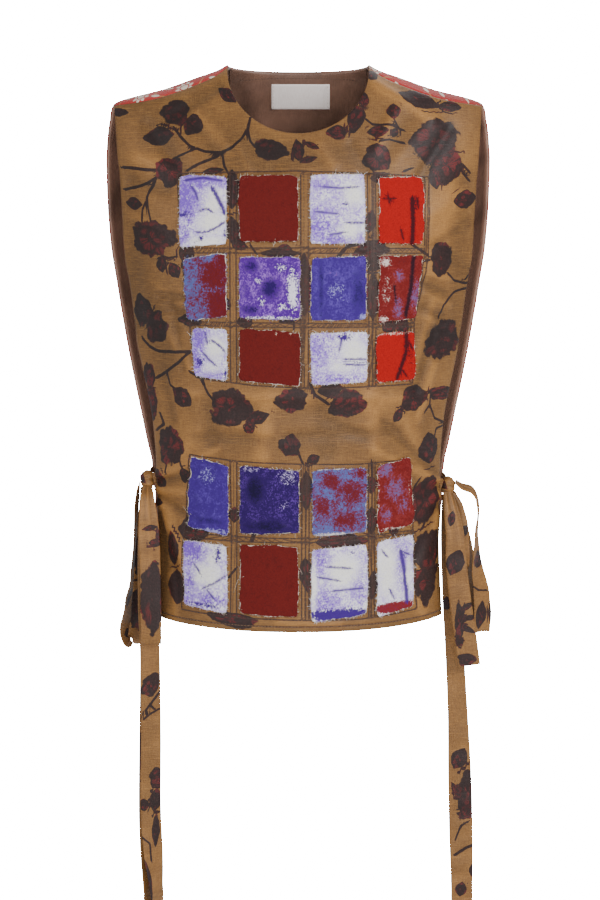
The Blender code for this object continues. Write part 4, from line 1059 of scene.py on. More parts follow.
# Patches: twenty raw-edged squares of hand-dyed cloth, laid on the front in two grids of four columns, three rows
# above and two below. Each is cut by eye, so that no edge is straight, its cut threads fray, and it is quilted
# down.
PATCH_LIFT = 0.65
PATCH_WALL = 0.95
PATCH_STEP = 1.25
PATCHES = (  # name, left and right of the top and of the foot, top, foot, falls to the right, dye, waver
    ("upper_1_1", -115, -69, -114, -69, 114, 181, 2, -3, "white_violet", 0.8),
    ("upper_1_2", -57, 0, -56, 0, 114, 177, 1, 0, "dark_red", 1.1),
    ("upper_1_3", 12, 64, 12, 64, 113, 179, -1, 0, "white_violet", 0.8),
    ("upper_1_4", 78, 122, 78, 121, 115, 179, -2, 1, "bright_red", 1.6),
    ("upper_2_1", -111, -69, -107, -68, 191, 251, -6, -4, "blue_red", 1.0),
    ("upper_2_2", -56, 2, -56, 2, 192, 251, 1, 1, "violet", 0.9),
    ("upper_2_3", 13, 65, 12, 65, 192, 252, -2, -1, "blue_violet", 0.9),
    ("upper_2_4", 78, 121, 77, 113, 191, 253, 0, -4, "mottled_red", 1.1),
    ("upper_3_1", -102, -68, -100, -68, 261, 309, 0, 4, "white_violet", 0.8),
    ("upper_3_2", -56, 2, -56, 2, 262, 313, 3, 5, "dark_red", 1.4),
    ("upper_3_3", 12, 66, 13, 66, 264, 313, -1, -2, "white_violet", 0.8),
    ("upper_3_4", 75, 112, 76, 113, 265, 312, -2, -2, "bright_red", 1.2),
    ("lower_1_1", -104, -67, -109, -68, 391, 461, 8, 6, "blue_violet", 1.0),
    ("lower_1_2", -56, 1, -56, 1, 396, 460, 4, -2, "deep_violet", 0.9),
    ("lower_1_3", 14, 66, 14, 66, 397, 461, -2, -2, "blue_red", 1.0),
    ("lower_1_4", 77, 110, 77, 113, 392, 459, -7, -5, "mottled_red", 1.1),
    ("lower_2_1", -111, -69, -112, -69, 473, 538, 2, 4, "white_violet", 0.9),
    ("lower_2_2", -56, 0, -56, 0, 472, 540, 1, 2, "dark_red", 1.1),
    ("lower_2_3", 13, 67, 13, 67, 474, 543, -4, -6, "white_violet", 0.9),
    ("lower_2_4", 77, 113, 77, 113, 469, 541, -4, -5, "white_violet", 1.0),
)
PATCH_DYES = {  # name: blots (kind, middle, reach in hundredths of the patch, strength), strokes (width, places)
    "upper_1_1": ((("wash", 12, 27, 20, 31, 0.8), ("wash", 42, 7, 40, 9, 0.7), ("wash", 10, 86, 11, 11, 0.5),
        ("wash", 55, 51, 22, 17, 0.35), ("light", 71, 41, 20, 23, 0.8), ("light", 69, 66, 27, 17, 0.9),
        ("light", 60, 94, 36, 7, 0.9), ("dark", 12, 56, 13, 4, 1), ("dark", 48, 90, 7, 4, 0.9),
        ("dark", 98, 83, 4, 7, 0.9), ("dark", 35, 96, 9, 3, 0.6)),
        ((3, (71, 19), (84, 34), (96, 53)), (1.5, (15, 6), (51, 3), (89, 7)), (1.1, (46, 50), (57, 47), (69, 51)),
        (1.2, (39, 81), (60, 81), (75, 76), (96, 67)), (1.2, (28, 17), (35, 24), (39, 33)))),
    "upper_1_2": ((("dark", 37, 36, 25, 31, 0.25),),
        ()),
    "upper_1_3": ((("wash", 15, 80, 22, 23, 0.6), ("wash", 22, 18, 26, 13, 0.35), ("wash", 56, 93, 41, 8, 0.55),
        ("wash", 37, 51, 26, 20, 0.25), ("light", 80, 30, 17, 15, 0.9), ("light", 74, 82, 15, 13, 0.9),
        ("dark", 65, 43, 6, 4, 0.9)),
        ((1.1, (24, 18), (56, 20), (85, 18)), (1.1, (67, 70), (96, 70)), (0.8, (11, 54), (48, 57)),
        (0.8, (37, 87), (63, 84)))),
    "upper_1_4": ((("dark", 5, 95, 9, 6, 0.4), ("light", 98, 100, 9, 5, 0.5)),
        ((3.5, (73, 33), (75, 67), (72, 100)), (2, (84, 33), (86, 44)), (1.2, (11, 33), (32, 33)),
        (1, (20, 27), (23, 39)), (1, (48, 80), (52, 92)))),
    "upper_2_1": ((("wash", 74, 33, 23, 17, 1.2), ("wash", 87, 78, 23, 21, 1.2), ("wash", 92, 9, 10, 14, 1.1),
        ("wash", 49, 57, 23, 38, 0.42), ("wash", 36, 14, 23, 12, 0.4), ("light", 103, 98, 13, 3, 0.7)),
        ()),
    "upper_2_2": ((("dark", 51, 51, 14, 15, 1.1), ("dark", 19, 15, 15, 10, 0.8), ("dark", 17, 85, 15, 8, 0.9),
        ("dark", 10, 54, 8, 17, 0.5), ("light", 88, 54, 8, 29, 1), ("light", 51, 98, 47, 3, 0.7),
        ("light", 37, 71, 7, 10, 0.5), ("light", 68, 17, 12, 8, 0.5), ("light", 31, 37, 8, 7, 0.5),
        ("light", 71, 80, 10, 7, 0.5)),
        ()),
    "upper_2_3": ((("dark", 17, 49, 5, 49, 0.8), ("dark", 87, 56, 15, 36, 0.8), ("dark", 34, 7, 30, 7, 0.4),
        ("light", 45, 52, 17, 18, 0.45), ("light", 94, 95, 8, 5, 0.9), ("light", 62, 69, 9, 7, 0.3),
        ("wash", 43, 28, 38, 23, 0.2)),
        ()),
    "upper_2_4": ((("wash", 44, 31, 9, 8, 0.6), ("wash", 42, 83, 9, 15, 0.6), ("wash", 84, 63, 12, 19, 0.6),
        ("light", 14, 10, 12, 7, 0.8), ("light", 9, 98, 9, 5, 0.9), ("light", 16, 54, 16, 31, 0.35),
        ("dark", 51, 7, 23, 7, 0.4)),
        ((3, (77, 2), (72, 46), (60, 92)), (1.2, (33, 46), (37, 71)))),
    "upper_3_1": ((("wash", 19, 20, 22, 26, 0.7), ("wash", 12, 67, 16, 20, 0.7), ("wash", 62, 93, 31, 9, 0.5),
        ("light", 66, 35, 28, 20, 0.9), ("light", 56, 80, 28, 13, 0.6), ("dark", 22, 67, 12, 8, 1.1),
        ("dark", 97, 91, 8, 15, 1)),
        ((1.1, (59, 24), (78, 33), (91, 43)), (1.1, (34, 50), (50, 63), (66, 72)), (0.8, (38, 9), (44, 28)))),
    "upper_3_2": ((("dark", 43, 49, 29, 29, 0.25), ("light", 61, 6, 2, 3, 1.2), ("light", 84, 6, 2, 2, 1.2)),
        ()),
    "upper_3_3": ((("wash", 11, 33, 17, 35, 0.5), ("wash", 43, 93, 38, 11, 0.5), ("wash", 25, 11, 17, 11, 0.4),
        ("light", 75, 37, 19, 22, 0.9), ("light", 53, 67, 23, 13, 0.6), ("dark", 60, 9, 13, 7, 1.1)),
        ((1.2, (55, 13), (51, 33)), (1.1, (62, 52), (96, 53)), (1, (62, 63), (94, 64)))),
    "upper_3_4": ((("dark", 91, 50, 12, 39, 0.45), ("light", 44, 2, 44, 3, 0.7)),
        ((3, (79, -2), (78, 43), (56, 93)), (1.2, (88, 22), (94, 33)), (1.2, (71, 80), (79, 89)))),
    "lower_1_1": ((("light", 42, 21, 25, 12, 0.5), ("light", 50, 100, 50, 4, 0.8), ("dark", 50, 85, 47, 5, 0.8),
        ("dark", 14, 56, 14, 21, 0.4)),
        ()),
    "lower_1_2": ((("dark", 25, 33, 15, 21, 1), ("dark", 47, 89, 44, 10, 0.8), ("dark", 14, 10, 14, 8, 0.4),
        ("light", 81, 13, 17, 13, 0.5), ("light", 17, 2, 15, 5, 0.5), ("light", 75, 57, 15, 13, 0.3)),
        ()),
    "lower_1_3": ((("wash", 33, 18, 13, 10, 0.8), ("wash", 71, 37, 17, 13, 0.8), ("wash", 17, 58, 13, 13, 0.7),
        ("wash", 62, 79, 23, 10, 0.8), ("wash", 87, 8, 10, 6, 0.7), ("wash", 44, 50, 10, 8, 0.5),
        ("light", 52, 102, 50, 4, 1)),
        ()),
    "lower_1_4": ((("wash", 22, 11, 19, 9, 0.7), ("wash", 53, 42, 25, 14, 0.65), ("wash", 78, 66, 16, 12, 0.5),
        ("wash", 25, 77, 16, 11, 0.5), ("light", 3, 42, 4, 39, 0.42), ("light", 53, 100, 44, 3, 0.6),
        ("light", 97, 42, 4, 31, 0.3)),
        ()),
    "lower_2_1": ((("wash", 17, 11, 22, 15, 0.8), ("wash", 12, 64, 12, 27, 0.5), ("wash", 54, 86, 39, 8, 0.5),
        ("light", 51, 48, 29, 18, 0.8), ("light", 63, 26, 15, 14, 0.6), ("dark", 78, 14, 10, 14, 1),
        ("dark", 49, 94, 46, 4, 0.9)),
        ((1.2, (46, 68), (71, 59), (95, 48)), (1, (24, 35), (37, 47)), (1, (54, 71), (68, 82)))),
    "lower_2_2": ((("dark", 48, 52, 29, 25, 0.2),),
        ()),
    "lower_2_3": ((("wash", 11, 15, 15, 18, 0.5), ("wash", 21, 76, 25, 12, 0.55), ("wash", 87, 61, 11, 21, 0.4),
        ("light", 58, 33, 25, 20, 0.9), ("light", 4, 53, 6, 38, 0.9), ("dark", 51, 95, 60, 7, 1.7),
        ("dark", 72, 9, 8, 4, 0.6)),
        ((1.1, (30, 27), (68, 30)), (1, (40, 61), (91, 59)), (0.9, (15, 42), (49, 47)))),
    "lower_2_4": ((("wash", 68, 29, 18, 22, 0.35), ("wash", 26, 49, 15, 12, 0.15), ("light", 26, 42, 24, 34, 0.9),
        ("light", 88, 49, 9, 27, 0.6), ("band", 53, 94, 70, 7, 1.1)),
        ((3, (65, 19), (79, 56), (82, 88)), (1.2, (15, 16), (24, 22)), (1.2, (76, 21), (85, 23)),
        (1, (35, 70), (44, 79)))),
}
DYES = {  # slot, ground, second ground, dark, light, wash, and the level at which the second ground starts
    "white_violet": ("white_violet_patch", (0.95, 0.92, 0.96), (0.42, 0.29, 0.76), (0.05, 0.015, 0.2),
                     (0.94, 0.91, 0.86), (0.2, 0.09, 0.56), -0.16),
    "dark_red": ("dark_red_patch", (0.125, 0.0075, 0.0055), (0.09, 0.0055, 0.0045), (0.06, 0.005, 0.006),
                 (0.6, 0.45, 0.36), (0.25, 0.02, 0.015), 0.05),
    "bright_red": ("bright_red_patch", (0.39, 0.004, 0.0025), (0.31, 0.0035, 0.0025), (0.035, 0.002, 0.006),
                   (0.72, 0.5, 0.4), (0.28, 0.008, 0.006), 0.15),
    "blue_red": ("blue_red_patch", (0.09, 0.12, 0.36), (0.15, 0.012, 0.02), (0.05, 0.02, 0.1),
                 (0.7, 0.64, 0.6), (0.13, 0.008, 0.009), 0.0),
    "mottled_red": ("dark_red_patch", (0.16, 0.008, 0.007), (0.23, 0.025, 0.022), (0.018, 0.003, 0.01),
                    (0.76, 0.6, 0.55), (0.15, 0.09, 0.24), 0.0),
    "violet": ("violet_patch", (0.08, 0.01, 0.25), (0.34, 0.15, 0.64), (0.018, 0.003, 0.09),
               (0.86, 0.8, 0.94), (0.2, 0.1, 0.4), -0.05),
    "deep_violet": ("violet_patch", (0.02, 0.004, 0.085), (0.13, 0.05, 0.36), (0.006, 0.002, 0.03),
                    (0.6, 0.5, 0.8), (0.2, 0.1, 0.4), 0.05),
    "blue_violet": ("blue_violet_patch", (0.045, 0.014, 0.2), (0.11, 0.06, 0.38), (0.022, 0.008, 0.11),
                    (0.3, 0.28, 0.62), (0.22, 0.03, 0.28), 0.0),
}
WASH_SPREAD = 1.6
patch_draws = np.random.default_rng(11)


def unit(vectors):
    """Vectors brought to a length of one."""
    return vectors / np.maximum(np.linalg.norm(vectors, axis=-1, keepdims=True), 1e-9)


def wavy(share, waver):
    """A hand-cut edge's wandering along its length."""
    wander = 0 * share
    for waves in (1, 2, 3, 5, 9, 17):
        wander = wander + patch_draws.uniform(-1, 1) / waves ** 0.6 * np.sin(
            2 * math.pi * waves * share + patch_draws.uniform(0, 6.3))
    return waver * 0.55 * wander


def build_dye_marks():
    """Hand dyeing: where the cloth has its second ground, dark and light parts, a wash of another dye, brush
    strokes and whitened cut edges."""
    group, place, blots, stroke, edge = new_group(
        "dye_marks", Place="Vector", Blots="Vector", Stroke="Vector", Edge="Vector")
    signed, nearest, half_width = stroke.axes()
    to_edge, band, second_level = edge.axes()
    cloud = place.noise(11.0, 12.0, 3.0, 0.6) - 0.5
    mottle = place.noise(4.2, 5.0, 5.0, 0.72) - 0.5
    fleck = place.noise(1.5, 1.7, 3.0, 0.75) - 0.5
    thread = place.noise(0.5, 2.4, 2.0)
    rough = mottle * 1.6 + fleck * 2.2 + (thread - 0.5) * 0.5
    blots = blots.axes()
    dark, light, wash = ((blot + rough * blot.ramp(0.05, 0.3)).ramp(low, high)
                         for blot, low, high in zip(blots, (0.46, 0.42, 0.34), (0.9, 0.7, 0.74)))
    second = (rough + cloud + blots[2] * 0.9).ramp(second_level, second_level + 0.5)
    drawn = (abs(signed) - half_width + rough * 1.9).ramp(1.4, -0.5, 0.0, 0.95) * nearest.ramp(4.0, 3.4)
    band = (band + rough * 0.4).ramp(0.4, 0.6)
    raw = (to_edge + (cloud + mottle) * 3.2).ramp(0.15, -0.2)
    weave = thread + place.noise(2.4, 0.5, 2.0)
    return give_out(group, Second=second, Dark=dark, Light=light, Wash=wash, Stroke=drawn, Band=band, Raw=raw,
                    Weave=weave)


dye_marks = build_dye_marks()
dyed_cloths = {}
for dye, (slot, ground, second, dark, light, wash, _) in DYES.items():
    dyed_cloths[dye], tree = cloth_paint(dye + "_cloth", sheen=0.04, specular=0.2)
    marks = use_group(tree, dye_marks, Place=kept(tree, "cloth_place"), Blots=kept(tree, "dye_blots"),
                      Stroke=kept(tree, "dye_stroke"), Edge=kept(tree, "cut_edge"))
    colour = mix(marks["Second"], ground, second)
    for mark, shade in (("Wash", wash), ("Light", light), ("Dark", dark), ("Band", (0.2, 0.014, 0.012)),
                        ("Stroke", dark), ("Raw", (0.74, 0.66, 0.56))):
        colour = mix(marks[mark], colour, shade)
    colour = mix(marks["Weave"].ramp(1.05, 0.75, 0.0, 0.25), colour, dark)
    dress(dyed_cloths[dye], colour, 0.8, marks["Weave"], rise=0.16)

frayed_thread, tree = cloth_paint("frayed_thread", sheen=0.2, specular=0.2)
dress(frayed_thread, mix(kept(tree, "own_share", "Fac"), (0.76, 0.68, 0.58), kept(tree, "own_colour")), 0.85)

FRAY_EVERY = 0.8
FRAY_RADII = 0.13 * np.array([1.0, 1.0, 0.8, 0.4])[:, None, None]
FRAY_STEPS = np.array([-0.6, 0.35, 0.7, 1.0])[None, :]
FRAY_TURNS = np.array([0.5, 2.6, 4.7])[:, None]
PALE_FRAYS = 0.5
PALE_FRAYS_ON_RED = 0.34
fray_tubes, fray_colours, fray_shares = [], [], []
for name, left_top, right_top, left_foot, right_foot, top, foot, top_fall, foot_fall, dye, waver in PATCHES:
    width, height = right_top - left_top, foot - top
    slot, fresh_dye, second_level = DYES[dye][0], DYES[dye][1], DYES[dye][-1]
    u = np.linspace(0.0, 1.0, int(width / PATCH_STEP) + 1)[:, None]
    v = np.linspace(0.0, 1.0, int(height / PATCH_STEP) + 1)[None, :]
    left = left_top + (left_foot - left_top) * v + wavy(v, waver)
    right = right_top + (right_foot - right_top) * v + wavy(v, waver)
    upper = top + top_fall * (u - 0.5) + wavy(u, waver)
    lower = foot + foot_fall * (u - 0.5) + wavy(u, waver)
    corner = 0.9 * (2 * u - 1) ** 8 * (2 * v - 1) ** 8
    x = left + (right - left) * u - corner * np.sign(u - 0.5)
    drop = upper + (lower - upper) * v - corner * np.sign(v - 0.5)
    to_edge = np.minimum(np.minimum(u, 1 - u) * (right - left), np.minimum(v, 1 - v) * (lower - upper))
    curl = 0.7 * np.exp(-to_edge / 2.2) * (0.5 + 0.5 * np.sin(x * 0.31 + drop * 0.23 + waver * 9))
    pucker = 0.28 * np.sin(x * 0.55 + drop * 0.13) * np.sin(drop * 0.47 - x * 0.09)
    rise = PATCH_LIFT + curl + pucker * np.exp(-((to_edge - 5) / 6) ** 2)
    outer, inner = over_front(x, -drop, rise + PATCH_WALL), over_front(x, -drop, rise)
    points, faces, outer_faces, sources = shell(outer, inner, bulge=0.15)
    patch = add_mesh("patch_" + name + "_cloth", points, faces, [dyed_cloths[dye]], "patch_" + name)
    amounts = {kind: 0 * x for kind in ("dark", "light", "wash", "band")}
    blots, strokes = PATCH_DYES[name]
    for kind, middle_u, middle_v, reach_u, reach_v, strength in blots:
        near = (((x - left_top) / width * 100 - middle_u) / reach_u) ** 2 + (
            ((drop - top) / height * 100 - middle_v) / reach_v) ** 2
        near = near / WASH_SPREAD if kind == "wash" else near
        amounts[kind] = np.maximum(amounts[kind], strength * np.exp(-near * 0.7))
    strokes = [(stroke[0], *((left_top + p / 100 * width, -top - q / 100 * height) for p, q in stroke[1:]))
               for stroke in strokes]
    keep_on_points(patch, sources, cloth_place=(x, -drop, patch_draws.uniform(0, 90)),
                   dye_blots=(amounts["dark"], amounts["light"], amounts["wash"]),
                   dye_stroke=beside_strokes(x, -drop, strokes), cut_edge=(to_edge, amounts["band"], second_level))
    for edge_x, edge_drop, edge_rise, out_x, out_drop in (
            (x[0], drop[0], rise[0], -1, 0), (x[-1], drop[-1], rise[-1], 1, 0),
            (x[:, 0], drop[:, 0], rise[:, 0], 0, -1), (x[:, -1], drop[:, -1], rise[:, -1], 0, 1)):
        count = int(len(edge_x) * PATCH_STEP / FRAY_EVERY)
        at = patch_draws.uniform(0, len(edge_x) - 1, count)
        root_x, root_drop, root_rise = (np.interp(at, np.arange(len(edge_x)), values)[:, None]
                                        for values in (edge_x, edge_drop, edge_rise))
        reach = 0.35 + patch_draws.gamma(1.4, 0.55, count)[:, None]
        lean = patch_draws.normal(0.0, 0.55, count)[:, None]
        past_edge = np.maximum(FRAY_STEPS, 0)
        bend = 1 + 0.6 * patch_draws.normal(0, 1, count)[:, None] * past_edge
        far = reach * FRAY_STEPS
        aside = reach * lean * past_edge * bend
        lift = root_rise + PATCH_WALL * 0.6 + past_edge * patch_draws.normal(-0.3, 0.45, count)[:, None]
        path = over_front(root_x + far * out_x + aside * abs(out_drop),
                          -(root_drop + far * out_drop + aside * abs(out_x)), np.maximum(lift, 0.3))
        along = unit(np.gradient(path, axis=1))
        side = unit(np.cross(along, np.array([0.02, -1.0, 0.03])))
        fray_tubes.append(ring_round(path, side, np.cross(side, along), FRAY_RADII, FRAY_TURNS))
        fray_points = fray_tubes[-1][0].size // 3
        own = patch_draws.uniform(0, 1, count) > (PALE_FRAYS_ON_RED if "red" in dye else PALE_FRAYS)
        fray_colours.append(np.tile(fresh_dye, (count * fray_points, 1)))
        fray_shares.append(np.repeat(own, fray_points))
patch_frays = add_tubes("patch_frays", np.concatenate(fray_tubes), frayed_thread)
keep_on_points(patch_frays, own_colour=tuple(np.concatenate(fray_colours).T),
               own_share=np.concatenate(fray_shares))


# Ties: flat strips of the front's silk, sewn to the panels' side edges and tied at the waist in a bow on each
# side. A bow is a knot with a short stub to either panel, two loops and two tails.
TIE_WALL = 1.0
TIE_STEPS = 14
TIE_COLUMNS = 12
KNOT_RADII = (7.5, 8.0, 10.0)
KNOT_GAP = 0.35
KNOT_FALL_AWAY = 1.0
KNOT_COLUMNS = 64
KNOT_ROWS = 44
tie_draws = np.random.default_rng(23)
LEFT_KNOT = (-152, -22, -418)
RIGHT_KNOT = (151, -22, -424)
LEFT_TIES = {  # x, y, z, the width's turn and lift, width
    "left_loop_front": (
        (-151, -31, -424, 10, 0, 9), (-150.5, -42, -436, 8, 0, 14), (-149, -46, -465, 5, 0, 20),
        (-147.5, -47, -510, 3, 0, 20), (-147, -49, -550, 0, 0, 20.5), (-147, -48, -572, 0, 0, 20),
        (-147.5, -43, -580.5, 0, 0, 20), (-148, -38.5, -571, 0, 0, 20), (-148, -39, -540, 0, 0, 20),
        (-148.5, -40.5, -490, 2, 0, 19), (-150, -38, -455, 5, 0, 15), (-150.5, -32.5, -437, 8, 0, 10),
        (-151, -27.5, -430, 10, 0, 9),
    ),
    "left_loop_outer": (
        (-160, -22, -421, 90, 0, 9), (-163, -18, -440, 80, 0, 14), (-164.5, -16, -470, 85, 0, 20),
        (-167.5, -15, -515, 80, 0, 21), (-173, -15, -553, 68, 0, 21), (-175.5, -14, -572, 60, 0, 21),
        (-172, -13, -584, 60, 0, 21), (-166.5, -12, -583, 40, 0, 21), (-163, -12, -570, 40, 0, 21),
        (-159.3, -13, -530, 40, 0, 21), (-156.5, -13, -480, 45, 0, 20), (-156, -14.5, -446, 45, 0, 14),
        (-157, -15, -429, 42, 0, 9),
    ),
    "left_tail_front": (
        (-152, -24.5, -430, 5, 0, 9), (-152.5, -29, -450, 5, 0, 14), (-152, -33, -490, 3, 0, 18),
        (-151.5, -33.5, -545, 2, 0, 19), (-149.5, -33, -600, 0, 0, 19.5), (-149, -32, -680, -4, 0, 20),
        (-149.5, -32, -750, 3, 0, 20), (-147, -32, -800, 25, 0, 20), (-144, -31, -835, 55, 0, 20),
        (-142.5, -31, -885, 64, 0, 20),
    ),
    "left_tail_back": (
        (-152, -20.5, -430, 5, 0, 9), (-152.5, -25, -450, 5, 0, 14), (-152, -29, -490, 3, 0, 18),
        (-151.5, -29.5, -545, 2, 0, 19), (-150, -28.5, -600, 0, 0, 19.5), (-151, -27, -680, 2, 0, 20),
        (-152, -27, -750, 0, 0, 20), (-151, -26.5, -800, 22, 0, 20), (-151, -26, -835, 52, 0, 20),
        (-151, -26, -878, 62, 0, 20),
    ),
}
RIGHT_TIES = {
    "right_loop_outer": (
        (158, -22, -420, 90, 20, 9), (166, -23, -424, 90, 25, 12), (176.5, -24, -429, 85, 20, 16),
        (181.5, -24, -443, 82, 5, 19), (180.5, -23, -475, 76, 0, 20), (180.5, -22, -500, 62, 0, 21),
        (184.5, -21.5, -525, 42, 0, 21), (187, -21, -550, 32, 0, 21), (187, -19, -567, 32, 0, 21),
        (186, -15.5, -575, 35, 0, 21), (183.5, -12, -568, 38, 0, 21), (180.5, -10, -540, 45, 0, 21),
        (176, -10, -505, 60, 0, 20), (171.5, -10.5, -475, 70, 0, 18), (165, -12, -450, 75, 0, 14),
        (157.5, -17, -431, 115, 0, 9),
    ),
    "right_loop_inner": (
        (153.5, -26.5, -432, 5, 0, 9), (158.5, -29, -443, 8, 0, 14), (162.5, -31, -463, 8, 0, 17),
        (163.5, -31, -490, 5, 0, 18), (163.5, -29, -503, 3, 0, 18), (163.5, -25, -506, 3, 0, 18),
        (163.5, -22, -500, 3, 0, 18), (162.5, -21, -482, 3, 0, 18), (159, -21, -460, 5, 0, 15),
        (155, -21.5, -442, 5, 0, 11), (154, -22, -434, 5, 0, 9),
    ),
    "right_tail_short": (
        (150.5, -31, -430, 0, 0, 9), (153, -37, -445, 0, 0, 14), (157, -40, -470, 0, 0, 18),
        (158.5, -40, -500, 0, 0, 20.5), (163, -39.5, -540, 0, 0, 21.5), (169, -38.5, -579, 0, 0, 21.5),
        (172.5, -38, -604, 0, 0, 21.5),
    ),
    "right_tail_long": (
        (150.5, -18, -433, 0, 0, 9), (152, -16, -450, 0, 0, 13), (153.5, -15, -480, 0, 0, 17),
        (156, -16, -540, 0, 0, 18), (159.5, -18, -600, -5, 0, 18.5), (162.5, -21, -660, -8, 0, 20),
        (164.5, -23, -720, -3, 0, 23), (166, -24, -780, 0, 0, 23.5), (167, -25, -830, 5, 0, 22),
        (167.5, -25, -885, 12, 0, 22),
    ),
}


def smooth_route(rows, steps):
    """A tie's rows with more put between them on a smooth curve."""
    rows = np.array(rows, float)
    padded = np.concatenate([rows[:1], rows, rows[-1:]])
    t = (np.arange(steps) / steps)[:, None]
    runs = []
    for before, start, end, after in zip(padded, padded[1:], padded[2:], padded[3:]):
        runs.append(0.5 * (2 * start + (end - before) * t + (2 * before - 5 * start + 4 * end - after) * t * t
                           + (3 * start - before - 3 * end + after) * t ** 3))
    return np.concatenate(runs + [rows[-1:]])


def width_directions(turns, lifts):
    """Directions of a tie's width from its turns and lifts in degrees."""
    turns, lifts = np.radians(turns), np.radians(lifts)
    return np.stack([np.cos(turns) * np.cos(lifts), np.sin(turns) * np.cos(lifts), np.sin(lifts)], axis=-1)


def seat_on_knot(point, following, direction, width, knot):
    """The point brought towards the knot's middle, until a tie that leaves there lies just off its surface."""
    radii = np.array(KNOT_RADII)
    away = np.asarray(point, float) - knot
    surface = knot + away / math.sqrt(((away / radii) ** 2).sum())
    normal = unit((surface - knot) / radii ** 2)
    along = unit(np.asarray(following, float) - surface)
    side = unit(direction - along * (direction @ along))
    out = np.cross(side, along)
    clear = KNOT_GAP + abs(out @ normal) * 0.6 + max(0.0, abs(side @ normal) * width / 2 - KNOT_FALL_AWAY)
    return surface + normal * clear


def ribbon(middles, directions, widths, curl, wrinkle, gathered_ends):
    """A flat tie's two faces along a middle line, gently curled and wrinkled and gathered into folds at the knot,
    with the places of its points and the painted light and shade of its folds, darkest near the knot."""
    along = unit(np.gradient(middles, axis=0))
    side = unit(directions - along * (directions * along).sum(axis=1, keepdims=True))
    out = np.cross(side, along)
    share = np.linspace(-0.5, 0.5, TIE_COLUMNS + 1)
    lengths = np.concatenate([[0.0], np.cumsum(np.linalg.norm(np.diff(middles, axis=0), axis=1))])
    across = widths[None, :] * share[:, None]
    rise = curl * (1 - (2 * share[:, None]) ** 2) * np.sin(lengths / 47.0 + tie_draws.uniform(0, 6.3))[None, :]
    for _ in range(5):
        wave = tie_draws.uniform(0.12, 0.32)
        lean = tie_draws.uniform(-0.5, 0.5)
        start = tie_draws.uniform(0, 6.3)
        rise = rise + wrinkle * 0.35 * np.sin(wave * (lengths[None, :] + lean * across) + start)
    rise = rise * np.minimum(1.0, np.minimum(lengths, lengths[-1] - lengths)[None, :] / 14.0)
    from_knot = np.minimum(lengths, lengths[-1] - lengths) if gathered_ends == 2 else lengths
    phase = tie_draws.uniform(0, 6.3)
    drift = tie_draws.uniform(-0.02, 0.02)
    gathers = np.cos(2 * math.pi * 2.3 * share[:, None] + phase + from_knot[None, :] * drift)
    gathers = gathers + 0.5 * np.cos(2 * math.pi * 3.9 * share[:, None] + 2 * phase)
    fading = np.exp(-from_knot / 34.0) * np.minimum(1.0, from_knot / 6.0)
    # Painted light and shade: lighter on the ridges of the gathers and curls, darker in their troughs and close to
    # the knot.
    tone = 0.85 * gathers * fading[None, :] + 0.35 * rise - 0.25 * np.exp(-from_knot / 9.0)[None, :]
    rise = rise + 0.75 * gathers * fading[None, :]
    base = middles[None] + side[None] * across[..., None] + out[None] * rise[..., None]
    outer = base + out[None] * TIE_WALL / 2
    inner = base - out[None] * TIE_WALL / 2
    return outer, inner, across, np.broadcast_to(-lengths, across.shape), tone


